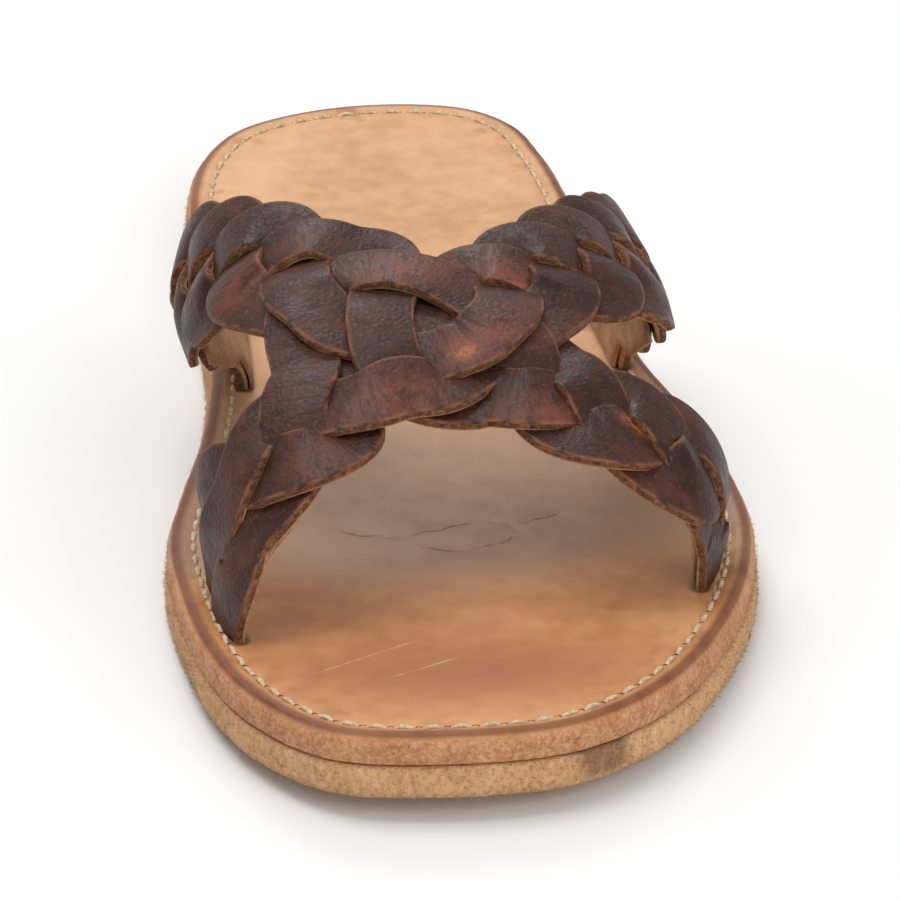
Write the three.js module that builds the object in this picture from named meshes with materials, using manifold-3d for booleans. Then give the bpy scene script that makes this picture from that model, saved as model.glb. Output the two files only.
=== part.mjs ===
// A leather slide sandal for the left foot: two sole layers and a plaited cross of six leather strips.
// Millimetres, +Z up, the toe points to -Y, the big-toe side is at -X, the floor is Z = 0.
import * as THREE from 'three';
import { mergeVertices } from 'three/addons/utils/BufferGeometryUtils.js';
import Module from 'manifold-3d';

const wasm = await Module();
wasm.setup();

// Driving sizes of the sole
const length = 280;            // heel back to toe tip
const outsoleThickness = 6.2;
const footbedThickness = 5.5;
const layerGap = 0.3;
const toeSpring = 4;           // rise of the toe tip off the floor
const springStart = 185;       // station where the sole starts to rise
const edgePointsPerRow = 3;    // outline points between two rows of the table

// Driving sizes of the plaited straps
const stripWidth = 12;
const wallThickness = 2.2;     // one strip, and the tab at each strap end
const stripRise = 1.1;         // how far an upper strip stands over the mean level, a lower one under it
const edgeDrop = 0.5;          // rounding of a strip's long edges
const crownShare = 0.6;        // flat share of a strip's width
const undersideShare = 0.5;    // share of that rise that the strip's underside follows
const bendShare = 0.8;         // in a tight turn the inner half narrows to this share of the radius
const deepLevel = 0.6;         // how far a strip under everything dips below the last's skin, in rises
const stripStep = 4.2;         // spacing of the sections along a strip
const tabLap = 9;              // length of flat tab under the plait's end
const tabInset = 1;            // a tab is this much narrower than its plait on each side
const tabDepth = 5.2;          // how far a tab goes down in its slot
const stripEnd = 3;            // the strips stop this far above the footbed
const footClear = 1.6;         // and none of their corners comes nearer to it than this
const slotGap = 0.3;

const footbedFloor = outsoleThickness + layerGap;
const footbedTop = footbedFloor + footbedThickness;

// Sole outline: half-widths from the long axis at stations measured from the heel back
const heelBack = { station: 0, across: -5 };
const toeTip = { station: length, across: -10.5 };
const outlineRows = [
  { station: 3, medial: -22, lateral: 10.3 },
  { station: 12, medial: -36.4, lateral: 19.4 },
  { station: 26, medial: -43.6, lateral: 24.1 },
  { station: 46, medial: -46.8, lateral: 27.9 },
  { station: 85, medial: -45.4, lateral: 32 },
  { station: 122, medial: -43.6, lateral: 37.3 },
  { station: 152, medial: -45.4, lateral: 46 },
  { station: 176, medial: -49.4, lateral: 50.6 },
  { station: 196, medial: -52, lateral: 52 },
  { station: 219, medial: -50.2, lateral: 48.9 },
  { station: 240, medial: -46.4, lateral: 42.4 },
  { station: 257, medial: -40.8, lateral: 34.2 },
  { station: 271, medial: -32, lateral: 22.4 },
  { station: 277.6, medial: -24, lateral: 11 },
];

// Last sections: the instep ridge, its rise over the footbed and its place across
const ridgeRows = [
  { station: 80, rise: 64, across: -9 },
  { station: 110, rise: 57.5, across: -9 },
  { station: 140, rise: 51.5, across: -8 },
  { station: 170, rise: 45, across: -7 },
  { station: 200, rise: 37.5, across: -6 },
  { station: 230, rise: 27, across: -5 },
  { station: 260, rise: 19, across: -4 },
];
// and how far each side reaches at the footbed and at the fullest part of the wall, with the power of its
// superellipse: a larger one is a squarer wall
const sideRows = {
  medial: [
    { station: 80, base: -37, full: -46, power: 2.8 },
    { station: 110, base: -36.8, full: -46.8, power: 2.9 },
    { station: 140, base: -36, full: -47, power: 2.9 },
    { station: 170, base: -38.5, full: -46.3, power: 3 },
    { station: 200, base: -41.5, full: -46, power: 3.4 },
    { station: 230, base: -40.3, full: -40, power: 2.3 },
    { station: 260, base: -33, full: -31.5, power: 2.2 },
  ],
  lateral: [
    { station: 80, base: 26, full: 31, power: 2.2 },
    { station: 110, base: 29.3, full: 33.5, power: 2.2 },
    { station: 140, base: 33.5, full: 36.2, power: 2.3 },
    { station: 170, base: 38, full: 41.8, power: 2.5 },
    { station: 200, base: 41.5, full: 44.5, power: 2.8 },
    { station: 230, base: 37.5, full: 38.5, power: 2.6 },
    { station: 260, base: 28, full: 27, power: 2.2 },
  ],
};
const pinchHeight = 0.5;       // share of the rise over which the wall draws in to its slot

// Straps: the middle line of each, from the crossing down to its foot in the footbed, as girth from the
// ridge and station. Leaf tips follow each other every half pitch, in turn on its toe side and heel side.
const straps = {
  rearMedial: {
    side: -1, halfWidth: 14.5, footHalf: 14, leafPitch: 16, firstTip: 23.5, footStation: 120,
    axis: [
      { girth: -4, station: 193.5 }, { girth: -13, station: 185 }, { girth: -24, station: 174.5 },
      { girth: -34, station: 164 }, { girth: -44, station: 152.5 }, { girth: -56, station: 137.5 },
      { girth: -68, station: 126 },
    ],
  },
  rearLateral: {
    side: 1, halfWidth: 14.5, footHalf: 14, leafPitch: 13, firstTip: 12.5, footStation: 114,
    axis: [
      { girth: 4, station: 194.5 }, { girth: 12, station: 189 }, { girth: 23, station: 179.5 },
      { girth: 33, station: 168.5 }, { girth: 42, station: 156 }, { girth: 55, station: 136.5 },
      { girth: 68, station: 121 },
    ],
  },
  frontMedial: {
    side: -1, halfWidth: 15, footHalf: 18.5, leafPitch: 14, firstTip: 22, footStation: 219.5,
    axis: [
      { girth: -4, station: 200 }, { girth: -12, station: 209 }, { girth: -20, station: 216 },
      { girth: -30, station: 221.5 }, { girth: -42, station: 221.5 },
    ],
  },
  frontLateral: {
    side: 1, halfWidth: 15, footHalf: 15, leafPitch: 14.4, firstTip: 24.5, footStation: 205,
    axis: [
      { girth: 4, station: 200.5 }, { girth: 12, station: 206 }, { girth: 20, station: 211 },
      { girth: 30, station: 214.5 }, { girth: 42, station: 214.5 }, { girth: 56, station: 210 },
    ],
  },
};

// Strips: the strap and leaf where each one starts and ends, and its way through the crossing.
// Level 1 passes over its neighbours, -1 under them, -2 under everything.
const strips = [
  {
    from: { strap: 'frontMedial', leaf: 1 }, to: { strap: 'frontLateral', leaf: -1 },
    crossing: [
      { girth: -21.5, station: 197, level: -1 }, { girth: -19.5, station: 187, level: -0.9 },
      { girth: -14, station: 183.5, level: 0.2 }, { girth: -6, station: 183.5, level: 1 },
      { girth: 2, station: 186.5, level: 1 }, { girth: 8, station: 191, level: 0.3 },
      { girth: 12, station: 196, level: -1 },
    ],
  },
  {
    from: { strap: 'frontMedial', leaf: 2 }, to: { strap: 'rearLateral', leaf: 0 },
    crossing: [
      { girth: -19, station: 216, level: -1 }, { girth: -14.5, station: 210.5, level: -0.4 },
      { girth: -8, station: 209.5, level: -0.8 }, { girth: -1, station: 208, level: 0.7 },
      { girth: 7, station: 205, level: 1 },
    ],
  },
  {
    from: { strap: 'rearMedial', leaf: 1 }, to: { strap: 'frontLateral', leaf: 0 },
    crossing: [
      { girth: -5.5, station: 175.5, level: 0.3 }, { girth: -5.5, station: 184, level: -1 },
      { girth: -7.6, station: 193, level: 1 }, { girth: -8, station: 202, level: 1 },
      { girth: -7, station: 207.5, level: 0.2 }, { girth: -3, station: 212, level: -1 },
      { girth: 4, station: 214, level: -0.9 },
    ],
  },
  {
    from: { strap: 'frontMedial', leaf: 0 }, to: { strap: 'rearLateral', leaf: 2 },
    crossing: [
      { girth: 2, station: 212.5, level: 0.7 }, { girth: 8.5, station: 206, level: -0.8 },
      { girth: 16, station: 199, level: -1 },
    ],
  },
  {
    from: { strap: 'rearMedial', leaf: 0 }, to: { strap: 'rearLateral', leaf: 1 },
    crossing: [
      { girth: -15, station: 198.5, level: 0.8 }, { girth: -8.5, station: 199.5, level: -1 },
      { girth: -1, station: 195.5, level: 0.4 }, { girth: 3, station: 188, level: -1 },
    ],
  },
  {
    from: { strap: 'rearMedial', leaf: 2 }, to: { strap: 'frontLateral', leaf: 1 },
    crossing: [
      { girth: -22, station: 190, level: -1 }, { girth: -12, station: 196, level: -2 },
      { girth: 0, station: 198, level: -2 }, { girth: 10, station: 199, level: -2 },
      { girth: 18, station: 199.5, level: -1 },
    ],
  },
];

// Sole edge layers, from the bottom up: inset from the outline and height
const outsoleEdge = [
  { inset: 0.9, height: 0 },
  { inset: 0.1, height: 0.8 },
  { inset: 0, height: outsoleThickness - 0.5 },
  { inset: 0.4, height: outsoleThickness },
];
const footbedEdge = [
  { inset: 0.6, height: footbedFloor },
  { inset: 0.3, height: footbedFloor + 0.5 },
  { inset: 0.3, height: footbedTop - 2.2 },
  { inset: 0.8, height: footbedTop - 0.8 },
  { inset: 2.2, height: footbedTop + 0.1 },
  { inset: 9, height: footbedTop - 0.4 },
];

const smooth = (t) => {
  const k = Math.min(1, Math.max(0, t));
  return k * k * (3 - 2 * k);
};

const springLift = (station) => {
  const share = Math.max(0, (station - springStart) / (length - springStart));
  return toeSpring * share * share;
};

// Smooth reading of a table column at any station
function column(rows, key, station) {
  const last = rows.length - 1;
  let row = 0;
  while (row < last - 1 && station > rows[row + 1].station) row += 1;
  const [a, b] = [rows[row], rows[row + 1]];
  const before = rows[Math.max(0, row - 1)];
  const after = rows[Math.min(last, row + 2)];
  const span = b.station - a.station;
  const t = (station - a.station) / span;
  const slopeA = (b[key] - before[key]) / (b.station - before.station) * span;
  const slopeB = (after[key] - a[key]) / (after.station - a.station) * span;
  const t2 = t * t;
  const t3 = t2 * t;
  return (2 * t3 - 3 * t2 + 1) * a[key] + (t3 - 2 * t2 + t) * slopeA
    + (3 * t2 - 2 * t3) * b[key] + (t3 - t2) * slopeB;
}

// A closed skin over rings of equal, even point count, its ends capped by strips across the ring
function loft(rings) {
  const count = rings[0].length;
  const half = count / 2;
  const positions = rings.flat().flatMap((p) => [p.x, p.y, p.z]);
  const faces = [];
  const quad = (a, b, c, d) => faces.push(a, b, c, a, c, d);
  for (let r = 0; r < rings.length - 1; r += 1) {
    for (let i = 0; i < count; i += 1) {
      const j = (i + 1) % count;
      quad(r * count + i, r * count + j, (r + 1) * count + j, (r + 1) * count + i);
    }
  }
  const cap = (start, turn) => {
    const tri = (a, b, c) => (turn ? faces.push(start + a, start + c, start + b)
      : faces.push(start + a, start + b, start + c));
    tri(0, 1, count - 1);
    for (let i = 1; i < half - 1; i += 1) {
      tri(i, i + 1, count - i - 1);
      tri(i, count - i - 1, count - i);
    }
    tri(half - 1, half, half + 1);
  };
  cap(0, true);
  cap((rings.length - 1) * count, false);
  const geometry = new THREE.BufferGeometry();
  geometry.setAttribute('position', new THREE.Float32BufferAttribute(positions, 3));
  geometry.setIndex(faces);
  return geometry;
}

// Boolean solids in and out of three.js geometry, always with the faces outwards
function signedVolume(positions, faces) {
  const corner = (f) => new THREE.Vector3().fromArray(positions, faces[f] * 3);
  let volume = 0;
  for (let f = 0; f < faces.length; f += 3) {
    volume += corner(f).dot(corner(f + 1).cross(corner(f + 2))) / 6;
  }
  return volume;
}

function solid(geometry) {
  const merged = mergeVertices(geometry, 1e-4);
  const vertProperties = new Float32Array(merged.attributes.position.array);
  const triVerts = new Uint32Array(merged.index.array);
  if (signedVolume(vertProperties, triVerts) < 0) triVerts.reverse();
  return new wasm.Manifold(new wasm.Mesh({ numProp: 3, vertProperties, triVerts }));
}

function toGeometry(manifold) {
  const mesh = manifold.getMesh();
  const geometry = new THREE.BufferGeometry();
  geometry.setAttribute('position', new THREE.BufferAttribute(new Float32Array(mesh.vertProperties), 3));
  geometry.setIndex(new THREE.BufferAttribute(new Uint32Array(mesh.triVerts), 1));
  return geometry;
}

// Sole layers: the outline drawn in by an inset along its own normal, and lifted by the toe spring
const outlinePoint = (across, station) => new THREE.Vector3(across, length / 2 - station, 0);
const outline = new THREE.CatmullRomCurve3([
  outlinePoint(heelBack.across, heelBack.station),
  ...outlineRows.map((row) => outlinePoint(row.medial, row.station)),
  outlinePoint(toeTip.across, toeTip.station),
  ...outlineRows.toReversed().map((row) => outlinePoint(row.lateral, row.station)),
], true, 'centripetal');
const outlineCount = (2 * outlineRows.length + 2) * edgePointsPerRow;

function soleRing({ inset, height }) {
  const ring = [];
  for (let i = 0; i < outlineCount; i += 1) {
    const point = outline.getPoint(i / outlineCount);
    const along = outline.getTangent(i / outlineCount);
    const lift = springLift(length / 2 - point.y);
    ring.push(new THREE.Vector3(point.x - along.y * inset, point.y + along.x * inset, height + lift));
  }
  return ring;
}

const soleLayer = (edgeRows) => solid(loft(edgeRows.map(soleRing)));

// Last: one section at a station, from the ridge (q = 0) down to the footbed (q = 1) on one side
function sectionPoint(side, station, q) {
  const rows = side < 0 ? sideRows.medial : sideRows.lateral;
  const ridge = column(ridgeRows, 'across', station);
  const full = Math.abs(column(rows, 'full', station) - ridge);
  const base = Math.abs(column(rows, 'base', station) - ridge);
  const exponent = 2 / column(rows, 'power', station);
  const up = Math.cos(q * Math.PI / 2) ** exponent;
  const out = Math.sin(q * Math.PI / 2) ** exponent;
  const reach = full * out - (full - base) * (1 - smooth(up / pinchHeight));
  const floor = footbedTop + springLift(station);
  return new THREE.Vector3(ridge + side * reach, length / 2 - station,
    floor + column(ridgeRows, 'rise', station) * up);
}

const sectionSteps = 60;
const sectionCache = new Map();

function section(side, station) {
  const key = `${side} ${station.toFixed(3)}`;
  if (!sectionCache.has(key)) {
    const points = [];
    for (let i = 0; i <= sectionSteps; i += 1) points.push(sectionPoint(side, station, i / sectionSteps));
    const lengths = [0];
    points.slice(1).forEach((p, i) => lengths.push(lengths[i] + p.distanceTo(points[i])));
    sectionCache.set(key, { points, lengths });
  }
  return sectionCache.get(key);
}

const halfGirth = (side, station) => section(side, station).lengths.at(-1);

// The last's skin at a girth from the ridge; past the footbed it goes straight down, into the slot
function skin(girth, station) {
  const side = girth < 0 ? -1 : 1;
  const { points, lengths } = section(side, station);
  const reach = Math.abs(girth);
  if (reach >= lengths.at(-1)) {
    const foot = points.at(-1).clone();
    foot.z -= reach - lengths.at(-1);
    return foot;
  }
  const i = lengths.findIndex((l) => l > reach) - 1;
  return points[i].clone().lerp(points[i + 1], (reach - lengths[i]) / (lengths[i + 1] - lengths[i]));
}

// A point at a height over the last's skin
function overLast(girth, station, height) {
  const reach = 1;
  const alongGirth = skin(girth + reach, station).sub(skin(girth - reach, station));
  const alongFoot = skin(girth, station + reach).sub(skin(girth, station - reach));
  const normal = alongFoot.cross(alongGirth).normalize();
  return skin(girth, station).addScaledVector(normal, height);
}

// Strap: a point at a distance along its middle line and a distance across it, + to the toe side
function axisCurve({ side, axis, footStation }) {
  const foot = { girth: side * halfGirth(side, footStation), station: footStation };
  const points = [...axis, foot].map((p) => new THREE.Vector3(p.girth, p.station, 0));
  return new THREE.CatmullRomCurve3(points, false, 'centripetal');
}

const axisCurves = new Map(Object.entries(straps).map(([name, strap]) => [name, axisCurve(strap)]));
const squaring = 34;           // the strap's end turns square to its slot over this length

function strapPoint(name, along, across) {
  const { side } = straps[name];
  const curve = axisCurves.get(name);
  const total = curve.getLength();
  const share = Math.min(1, Math.max(0, along / total));
  const middle = curve.getPointAt(share);
  const heading = curve.getTangentAt(share);
  const ending = smooth((along - total + squaring) / squaring);
  const toToe = new THREE.Vector3(-heading.y, heading.x, 0);
  if (toToe.y < 0) toToe.negate();
  toToe.lerp(new THREE.Vector3(0, 1, 0), ending).normalize();
  const point = middle.clone().addScaledVector(toToe, across);
  const level = halfGirth(side, point.y) - halfGirth(side, middle.y);
  point.x += side * (level * ending + Math.max(0, along - total));
  return point;
}

// Plait: three strips swing from edge to edge, each passing over on its way in from an edge
function plaitPoint(name, leaf, along) {
  const { halfWidth, footHalf, leafPitch, firstTip } = straps[name];
  const tip = firstTip + leaf * leafPitch / 2;
  const isRearRow = Math.abs(leaf % 2) === 1;
  const phase = (isRearRow ? 0 : Math.PI) + (along - tip) * 2 * Math.PI / (3 * leafPitch);
  const total = axisCurves.get(name).getLength();
  const flattening = 1 - smooth((along - total + tabLap + stripEnd) / tabLap);
  const half = THREE.MathUtils.lerp(halfWidth, footHalf, smooth(along / total));
  const point = strapPoint(name, along, (half - stripWidth / 2) * Math.sin(phase));
  point.z = -Math.sin(2 * phase) * flattening - (1 - flattening);
  return point;
}

const plaitSamples = 8;        // points along each full swing of a strip

function plaitRoute({ strap: name, leaf }) {
  const { leafPitch, firstTip } = straps[name];
  const start = firstTip + leaf * leafPitch / 2 - 3 * leafPitch / 4;
  const end = axisCurves.get(name).getLength() - stripEnd;
  const steps = Math.round((end - start) / (3 * leafPitch) * plaitSamples);
  const route = [];
  for (let i = 0; i <= steps; i += 1) {
    route.push(plaitPoint(name, leaf, THREE.MathUtils.lerp(start, end, i / steps)));
  }
  return route;
}

// One strip: a ribbon over the last, its top following the level, its underside on the last
function strip({ from, to, crossing }) {
  const route = new THREE.CatmullRomCurve3([
    ...plaitRoute(from).toReversed(),
    ...crossing.map((p) => new THREE.Vector3(p.girth, p.station, p.level)),
    ...plaitRoute(to),
  ], false, 'centripetal');
  const steps = Math.round(route.getLength() / stripStep);
  const points = route.getSpacedPoints(steps);
  const heading = (i) => {
    const along = points[Math.min(steps, i + 1)].clone().sub(points[Math.max(0, i - 1)]);
    return Math.atan2(along.y, along.x);
  };
  const rings = points.map((point, i) => {
    const angle = heading(i);
    const across = new THREE.Vector3(-Math.sin(angle), Math.cos(angle), 0);
    const turn = heading(Math.min(steps, i + 1)) - heading(Math.max(0, i - 1));
    const bend = Math.atan2(Math.sin(turn), Math.cos(turn)) / (2 * stripStep);
    const inner = bend === 0 ? Infinity : bendShare / Math.abs(bend);
    const reach = (sign) => Math.min(stripWidth / 2, sign * bend > 0 ? inner : Infinity);
    const lift = stripRise * Math.max(-deepLevel, 1 + point.z);
    const top = wallThickness + lift;
    const underside = undersideShare * lift;
    const corner = (sign, share, height) => {
      const place = point.clone().addScaledVector(across, sign * share * reach(sign));
      const limit = halfGirth(Math.sign(place.x), place.y) - footClear;
      return overLast(THREE.MathUtils.clamp(place.x, -limit, limit), place.y, height);
    };
    return [
      corner(-1, 1, top - edgeDrop), corner(-1, crownShare, top),
      corner(1, crownShare, top), corner(1, 1, top - edgeDrop),
      corner(1, 1, underside), corner(-1, 1, underside),
    ];
  });
  return solid(loft(rings));
}

// Tab: the flat strap end that goes down in its slot; grown by the gap, it is the slot's cutter
const tabColumns = 6;
const tabRows = 5;

function tab(name, grow, above, below) {
  const { side, footHalf, footStation } = straps[name];
  const stations = [];
  for (let i = 0; i <= tabColumns; i += 1) {
    stations.push(footStation + (footHalf - tabInset + grow) * (2 * i / tabColumns - 1));
  }
  const rings = [];
  for (let r = 0; r <= tabRows; r += 1) {
    const past = THREE.MathUtils.lerp(-above, below, r / tabRows);
    const at = (s, height) => overLast(side * (halfGirth(side, s) + past), s, height);
    rings.push([
      ...stations.map((s) => at(s, -grow)),
      ...stations.toReversed().map((s) => at(s, wallThickness + grow)),
    ]);
  }
  return solid(loft(rings));
}

const strapNames = Object.keys(straps);
const union = (solids) => solids.reduce((all, next) => all.add(next));

const outsole = soleLayer(outsoleEdge);
const slotReach = 2;           // a slot's cutter passes this far out of the footbed
const slots = strapNames.map((name) => tab(name, slotGap, slotReach, footbedThickness + slotReach));
const footbed = slots.reduce((bed, slot) => bed.subtract(slot), soleLayer(footbedEdge));
const upper = union([...strips.map(strip), ...strapNames.map((name) => tab(name, 0, tabLap, tabDepth))]);

function part(name, manifold, color, roughness) {
  const mesh = new THREE.Mesh(toGeometry(manifold),
    new THREE.MeshStandardMaterial({ color, roughness, metalness: 0 }));
  mesh.name = name;
  return mesh;
}

const sandal = new THREE.Group();
sandal.add(part('outsole', outsole, 0xc18a55, 0.85));
sandal.add(part('footbed', footbed, 0xcf9560, 0.6));
sandal.add(part('upper', upper, 0x4a2a20, 0.45));

export default sandal;
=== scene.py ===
import math
import bpy
import numpy as np
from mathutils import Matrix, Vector, kdtree


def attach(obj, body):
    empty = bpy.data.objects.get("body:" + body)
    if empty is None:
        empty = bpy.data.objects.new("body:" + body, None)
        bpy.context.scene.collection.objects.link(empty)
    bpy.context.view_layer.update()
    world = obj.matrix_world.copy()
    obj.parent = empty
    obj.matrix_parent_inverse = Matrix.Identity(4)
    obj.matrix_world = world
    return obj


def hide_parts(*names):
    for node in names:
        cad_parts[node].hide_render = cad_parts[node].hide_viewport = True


# Plaited leather slide sandal, left foot. Sizes below are millimetres, meshes are metres.
# Toe at -Y, heel at +Y, big-toe side at -X. A station is a distance from the heel back.
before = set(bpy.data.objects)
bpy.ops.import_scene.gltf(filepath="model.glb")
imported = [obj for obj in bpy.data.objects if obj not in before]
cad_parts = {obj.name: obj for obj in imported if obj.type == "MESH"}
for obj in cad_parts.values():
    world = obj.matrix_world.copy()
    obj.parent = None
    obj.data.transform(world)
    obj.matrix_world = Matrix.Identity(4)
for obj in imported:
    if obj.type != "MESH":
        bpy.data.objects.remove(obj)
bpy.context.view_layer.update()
mm = 0.001
rng = np.random.default_rng(11)
print("frame loaded", sorted(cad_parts))

sole = {
    "length": 280.0,
    "footbedTop": 12.0,
    "toeSpring": 4.0,
    "springStart": 185.0,
    "heelBack": -5.0,
    "toeTip": -10.5,
    # station, medial edge, lateral edge
    "outline": [
        (3, -22, 10.3), (12, -36.4, 19.4), (26, -43.6, 24.1), (46, -46.8, 27.9), (85, -45.4, 32),
        (122, -43.6, 37.3), (152, -45.4, 46), (176, -49.4, 50.6), (196, -52, 52), (219, -50.2, 48.9),
        (240, -46.4, 42.4), (257, -40.8, 34.2), (271, -32, 22.4), (277.6, -24, 11),
    ],
    "pointsPerRow": 24,
    # station and place across of the line that the flat faces close on
    "spine": [(48, -9.5), (122, -3), (196, 0), (228, -3)],
    "closeUnder": 0.03,      # share of the way out at which the last ring lies
    "closeTop": 0.02,
    "seamPoints": 1440,
}
heelY = sole["length"] / 2      # where station 0 lies in the frame
farOff = 99.0                   # farther than anything on the sole


def smooth(t):
    k = np.clip(t, 0.0, 1.0)
    return k * k * (3 - 2 * k)


def rising(values, start, width):
    return smooth((values - start) / width)


def falling(values, start, width):
    return smooth((start - values) / width)


def springLift(station):
    share = np.clip((station - sole["springStart"]) / (sole["length"] - sole["springStart"]), 0, None)
    return sole["toeSpring"] * share ** 2


def hermite(t, a, slopeA, b, slopeB):
    return ((2 * t ** 3 - 3 * t ** 2 + 1) * a + (t ** 3 - 2 * t ** 2 + t) * slopeA
            + (3 * t ** 2 - 2 * t ** 3) * b + (t ** 3 - t ** 2) * slopeB)


def catmullRom(points, closed, perSegment):
    p = np.asarray(points, float)
    if closed:
        p = np.vstack([p[-1], p, p[0], p[1]])
    else:
        p = np.vstack([2 * p[0] - p[1], p, 2 * p[-1] - p[-2]])
    t = np.arange(perSegment)[:, None] / perSegment
    out = []
    for a, b, c, d in zip(p[:-3], p[1:-2], p[2:-1], p[3:]):
        da, db, dc = [max(np.linalg.norm(v), 1e-6) ** 0.5 for v in (b - a, c - b, d - c)]
        m1 = ((b - a) / da - (c - a) / (da + db) + (c - b) / db) * db
        m2 = ((c - b) / db - (d - b) / (db + dc) + (d - c) / dc) * db
        out.append(hermite(t, b, m1, c, m2))
    if not closed:
        out.append(p[-2][None])
    return np.vstack(out)


def pathLength(path):
    return np.concatenate([[0], np.cumsum(np.linalg.norm(np.diff(path, axis=0), axis=1))])


def resample(path, count):
    run = pathLength(path)
    at = np.linspace(0, run[-1], count)
    return np.stack([np.interp(at, run, path[:, i]) for i in range(path.shape[1])], 1)


def soften(values, passes):
    # in place, the two ends held
    for _ in range(passes):
        values[1:-1] = 0.25 * values[:-2] + 0.5 * values[1:-1] + 0.25 * values[2:]


def meshObject(name, verts, faces):
    mesh = bpy.data.meshes.new(name)
    mesh.from_pydata((np.asarray(verts) * mm).tolist(), [], faces)
    mesh.validate()
    mesh.polygons.foreach_set("use_smooth", [True] * len(mesh.polygons))
    obj = bpy.data.objects.new(name, mesh)
    bpy.context.scene.collection.objects.link(obj)
    return obj


def storeValues(obj, name, values):
    layer = obj.data.attributes.new(name, "FLOAT", "POINT")
    layer.data.foreach_set("value", np.asarray(values, np.float32).ravel())


def storeUv(obj, uvByVertex):
    layer = obj.data.uv_layers.new(name="strip")
    loops = np.zeros(len(obj.data.loops), int)
    obj.data.loops.foreach_get("vertex_index", loops)
    layer.data.foreach_set("uv", np.asarray(uvByVertex, np.float32)[loops].ravel())


def tubeFaces(first, rows, n):
    # quads between closed rows of n points
    return [(first + i * n + j, first + i * n + (j + 1) % n,
             first + (i + 1) * n + (j + 1) % n, first + (i + 1) * n + j)
            for i in range(rows - 1) for j in range(n)]


def tubeEnds(first, rows, n):
    return [tuple(first + j for j in reversed(range(n))),
            tuple(first + (rows - 1) * n + j for j in range(n))]


# Sole outline: heel, medial edge to the toe, and back along the lateral edge
outlineKnots = [(sole["heelBack"], 0)]
outlineKnots += [(medial, station) for station, medial, _ in sole["outline"]]
outlineKnots += [(sole["toeTip"], sole["length"])]
outlineKnots += [(lateral, station) for station, _, lateral in reversed(sole["outline"])]
outline = catmullRom(outlineKnots, True, sole["pointsPerRow"])
outlineAlong = np.roll(outline, -1, 0) - np.roll(outline, 1, 0)
outlineAlong /= np.linalg.norm(outlineAlong, axis=1, keepdims=True)
outlineInward = np.stack([outlineAlong[:, 1], -outlineAlong[:, 0]], 1)
soleMiddle = np.array([0, sole["length"] / 2])
if ((outline + outlineInward - soleMiddle) ** 2).sum() > ((outline - soleMiddle) ** 2).sum():
    outlineInward = -outlineInward
spineAt, spineAcross = np.transpose(sole["spine"])
spineStations = np.clip(outline[:, 1], spineAt[0], spineAt[-1])
spine = np.stack([np.interp(spineStations, spineAt, spineAcross), spineStations], 1)


def lifted(flat, height):
    return np.column_stack([flat[:, 0], heelY - flat[:, 1], height + springLift(flat[:, 1])])


def soleRing(inset, height):
    return lifted(outline + outlineInward * inset, height)


def innerRing(inset, share, height):
    edge = outline + outlineInward * inset
    return lifted(spine + (edge - spine) * share, height)


def skinRings(rings):
    # a closed skin over rings, each end sewn up across the spine
    count = len(rings[0])
    faces = tubeFaces(0, len(rings), count)
    half = count // 2
    for start, turn in ((0, True), ((len(rings) - 1) * count, False)):
        for i in range(half):
            a, b = start + i, start + i + 1
            c, d = start + count - i - 1, start + (count - i) % count
            quad = [q for n, q in enumerate((a, b, c, d)) if q not in (a, b, c, d)[:n]]
            if len(quad) > 2:
                faces.append(tuple(reversed(quad)) if turn else tuple(quad))
    return np.vstack(rings), faces


def softNoise(count, passes):
    values = rng.normal(size=count)
    for _ in range(passes):
        values = 0.25 * np.roll(values, 1) + 0.5 * values + 0.25 * np.roll(values, -1)
    return values / values.std()


# rough cut edge of both layers: a fine fuzz and a slower sway, on what lies less deep than the inset
cutEdge = {"inset": 1, "fuzz": 0.7, "fuzzPasses": 2, "sway": 0.6, "swayPasses": 40, "flatInset": 5}


def soleLayer(name, sizes):
    # two flat faces that close on the spine, and the profile of the edge between them
    lowInset, lowHeight, lowRings = sizes["under"]
    topInset, topHeight, topRings = sizes["top"]
    count = len(outline)
    inward = np.column_stack([outlineInward[:, 0], -outlineInward[:, 1], np.zeros(count)])
    lowShares = np.linspace(sole["closeUnder"], 1, lowRings)[:-1]
    rings = [innerRing(lowInset, share, lowHeight) for share in lowShares]
    sway = softNoise(count, cutEdge["swayPasses"])
    for inset, height in sizes["profile"]:
        rough = 0
        if inset < cutEdge["inset"]:
            fuzz = cutEdge["fuzz"] * softNoise(count, cutEdge["fuzzPasses"]) + cutEdge["sway"] * sway
            rough = sizes["edgeFuzz"] * fuzz[:, None]
        rings.append(soleRing(inset, height) + rough * inward)
    topShares = np.linspace(1, sole["closeTop"], topRings)[1:]
    rings += [innerRing(topInset, share, topHeight) for share in topShares]
    verts, faces = skinRings(rings)
    obj = meshObject(name, verts, faces)
    edgeFace = obj.data.polygons[len(rings) // 2 * count]
    if edgeFace.normal.xy.dot(edgeFace.center.xy) < 0:
        obj.data.flip_normals()
    places = [(lowInset + cutEdge["flatInset"], lowHeight)] * (lowRings - 1) + sizes["profile"]
    places += [(topInset + cutEdge["flatInset"], topHeight)] * (topRings - 1)
    insets, heights = np.repeat(np.array(places, float), count, axis=0).T
    return obj, verts, insets, heights


def lineDistance(points, lines):
    # signed distance from points to the nearest of some open lines
    best = np.full(len(points), farOff)
    for line in lines:
        for a, b in zip(np.array(line[:-1], float), np.array(line[1:], float)):
            run = b - a
            t = np.clip((points - a) @ run / (run @ run), 0, 1)
            off = points - a - t[:, None] * run
            far = np.linalg.norm(off, axis=1) * np.sign(run[0] * off[:, 1] - run[1] * off[:, 0] + 1e-9)
            best = np.where(np.abs(far) < np.abs(best), far, best)
    return best


def softSpot(points, middle, size):
    return np.exp(-(((points - middle) / size) ** 2).sum(1))


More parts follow.
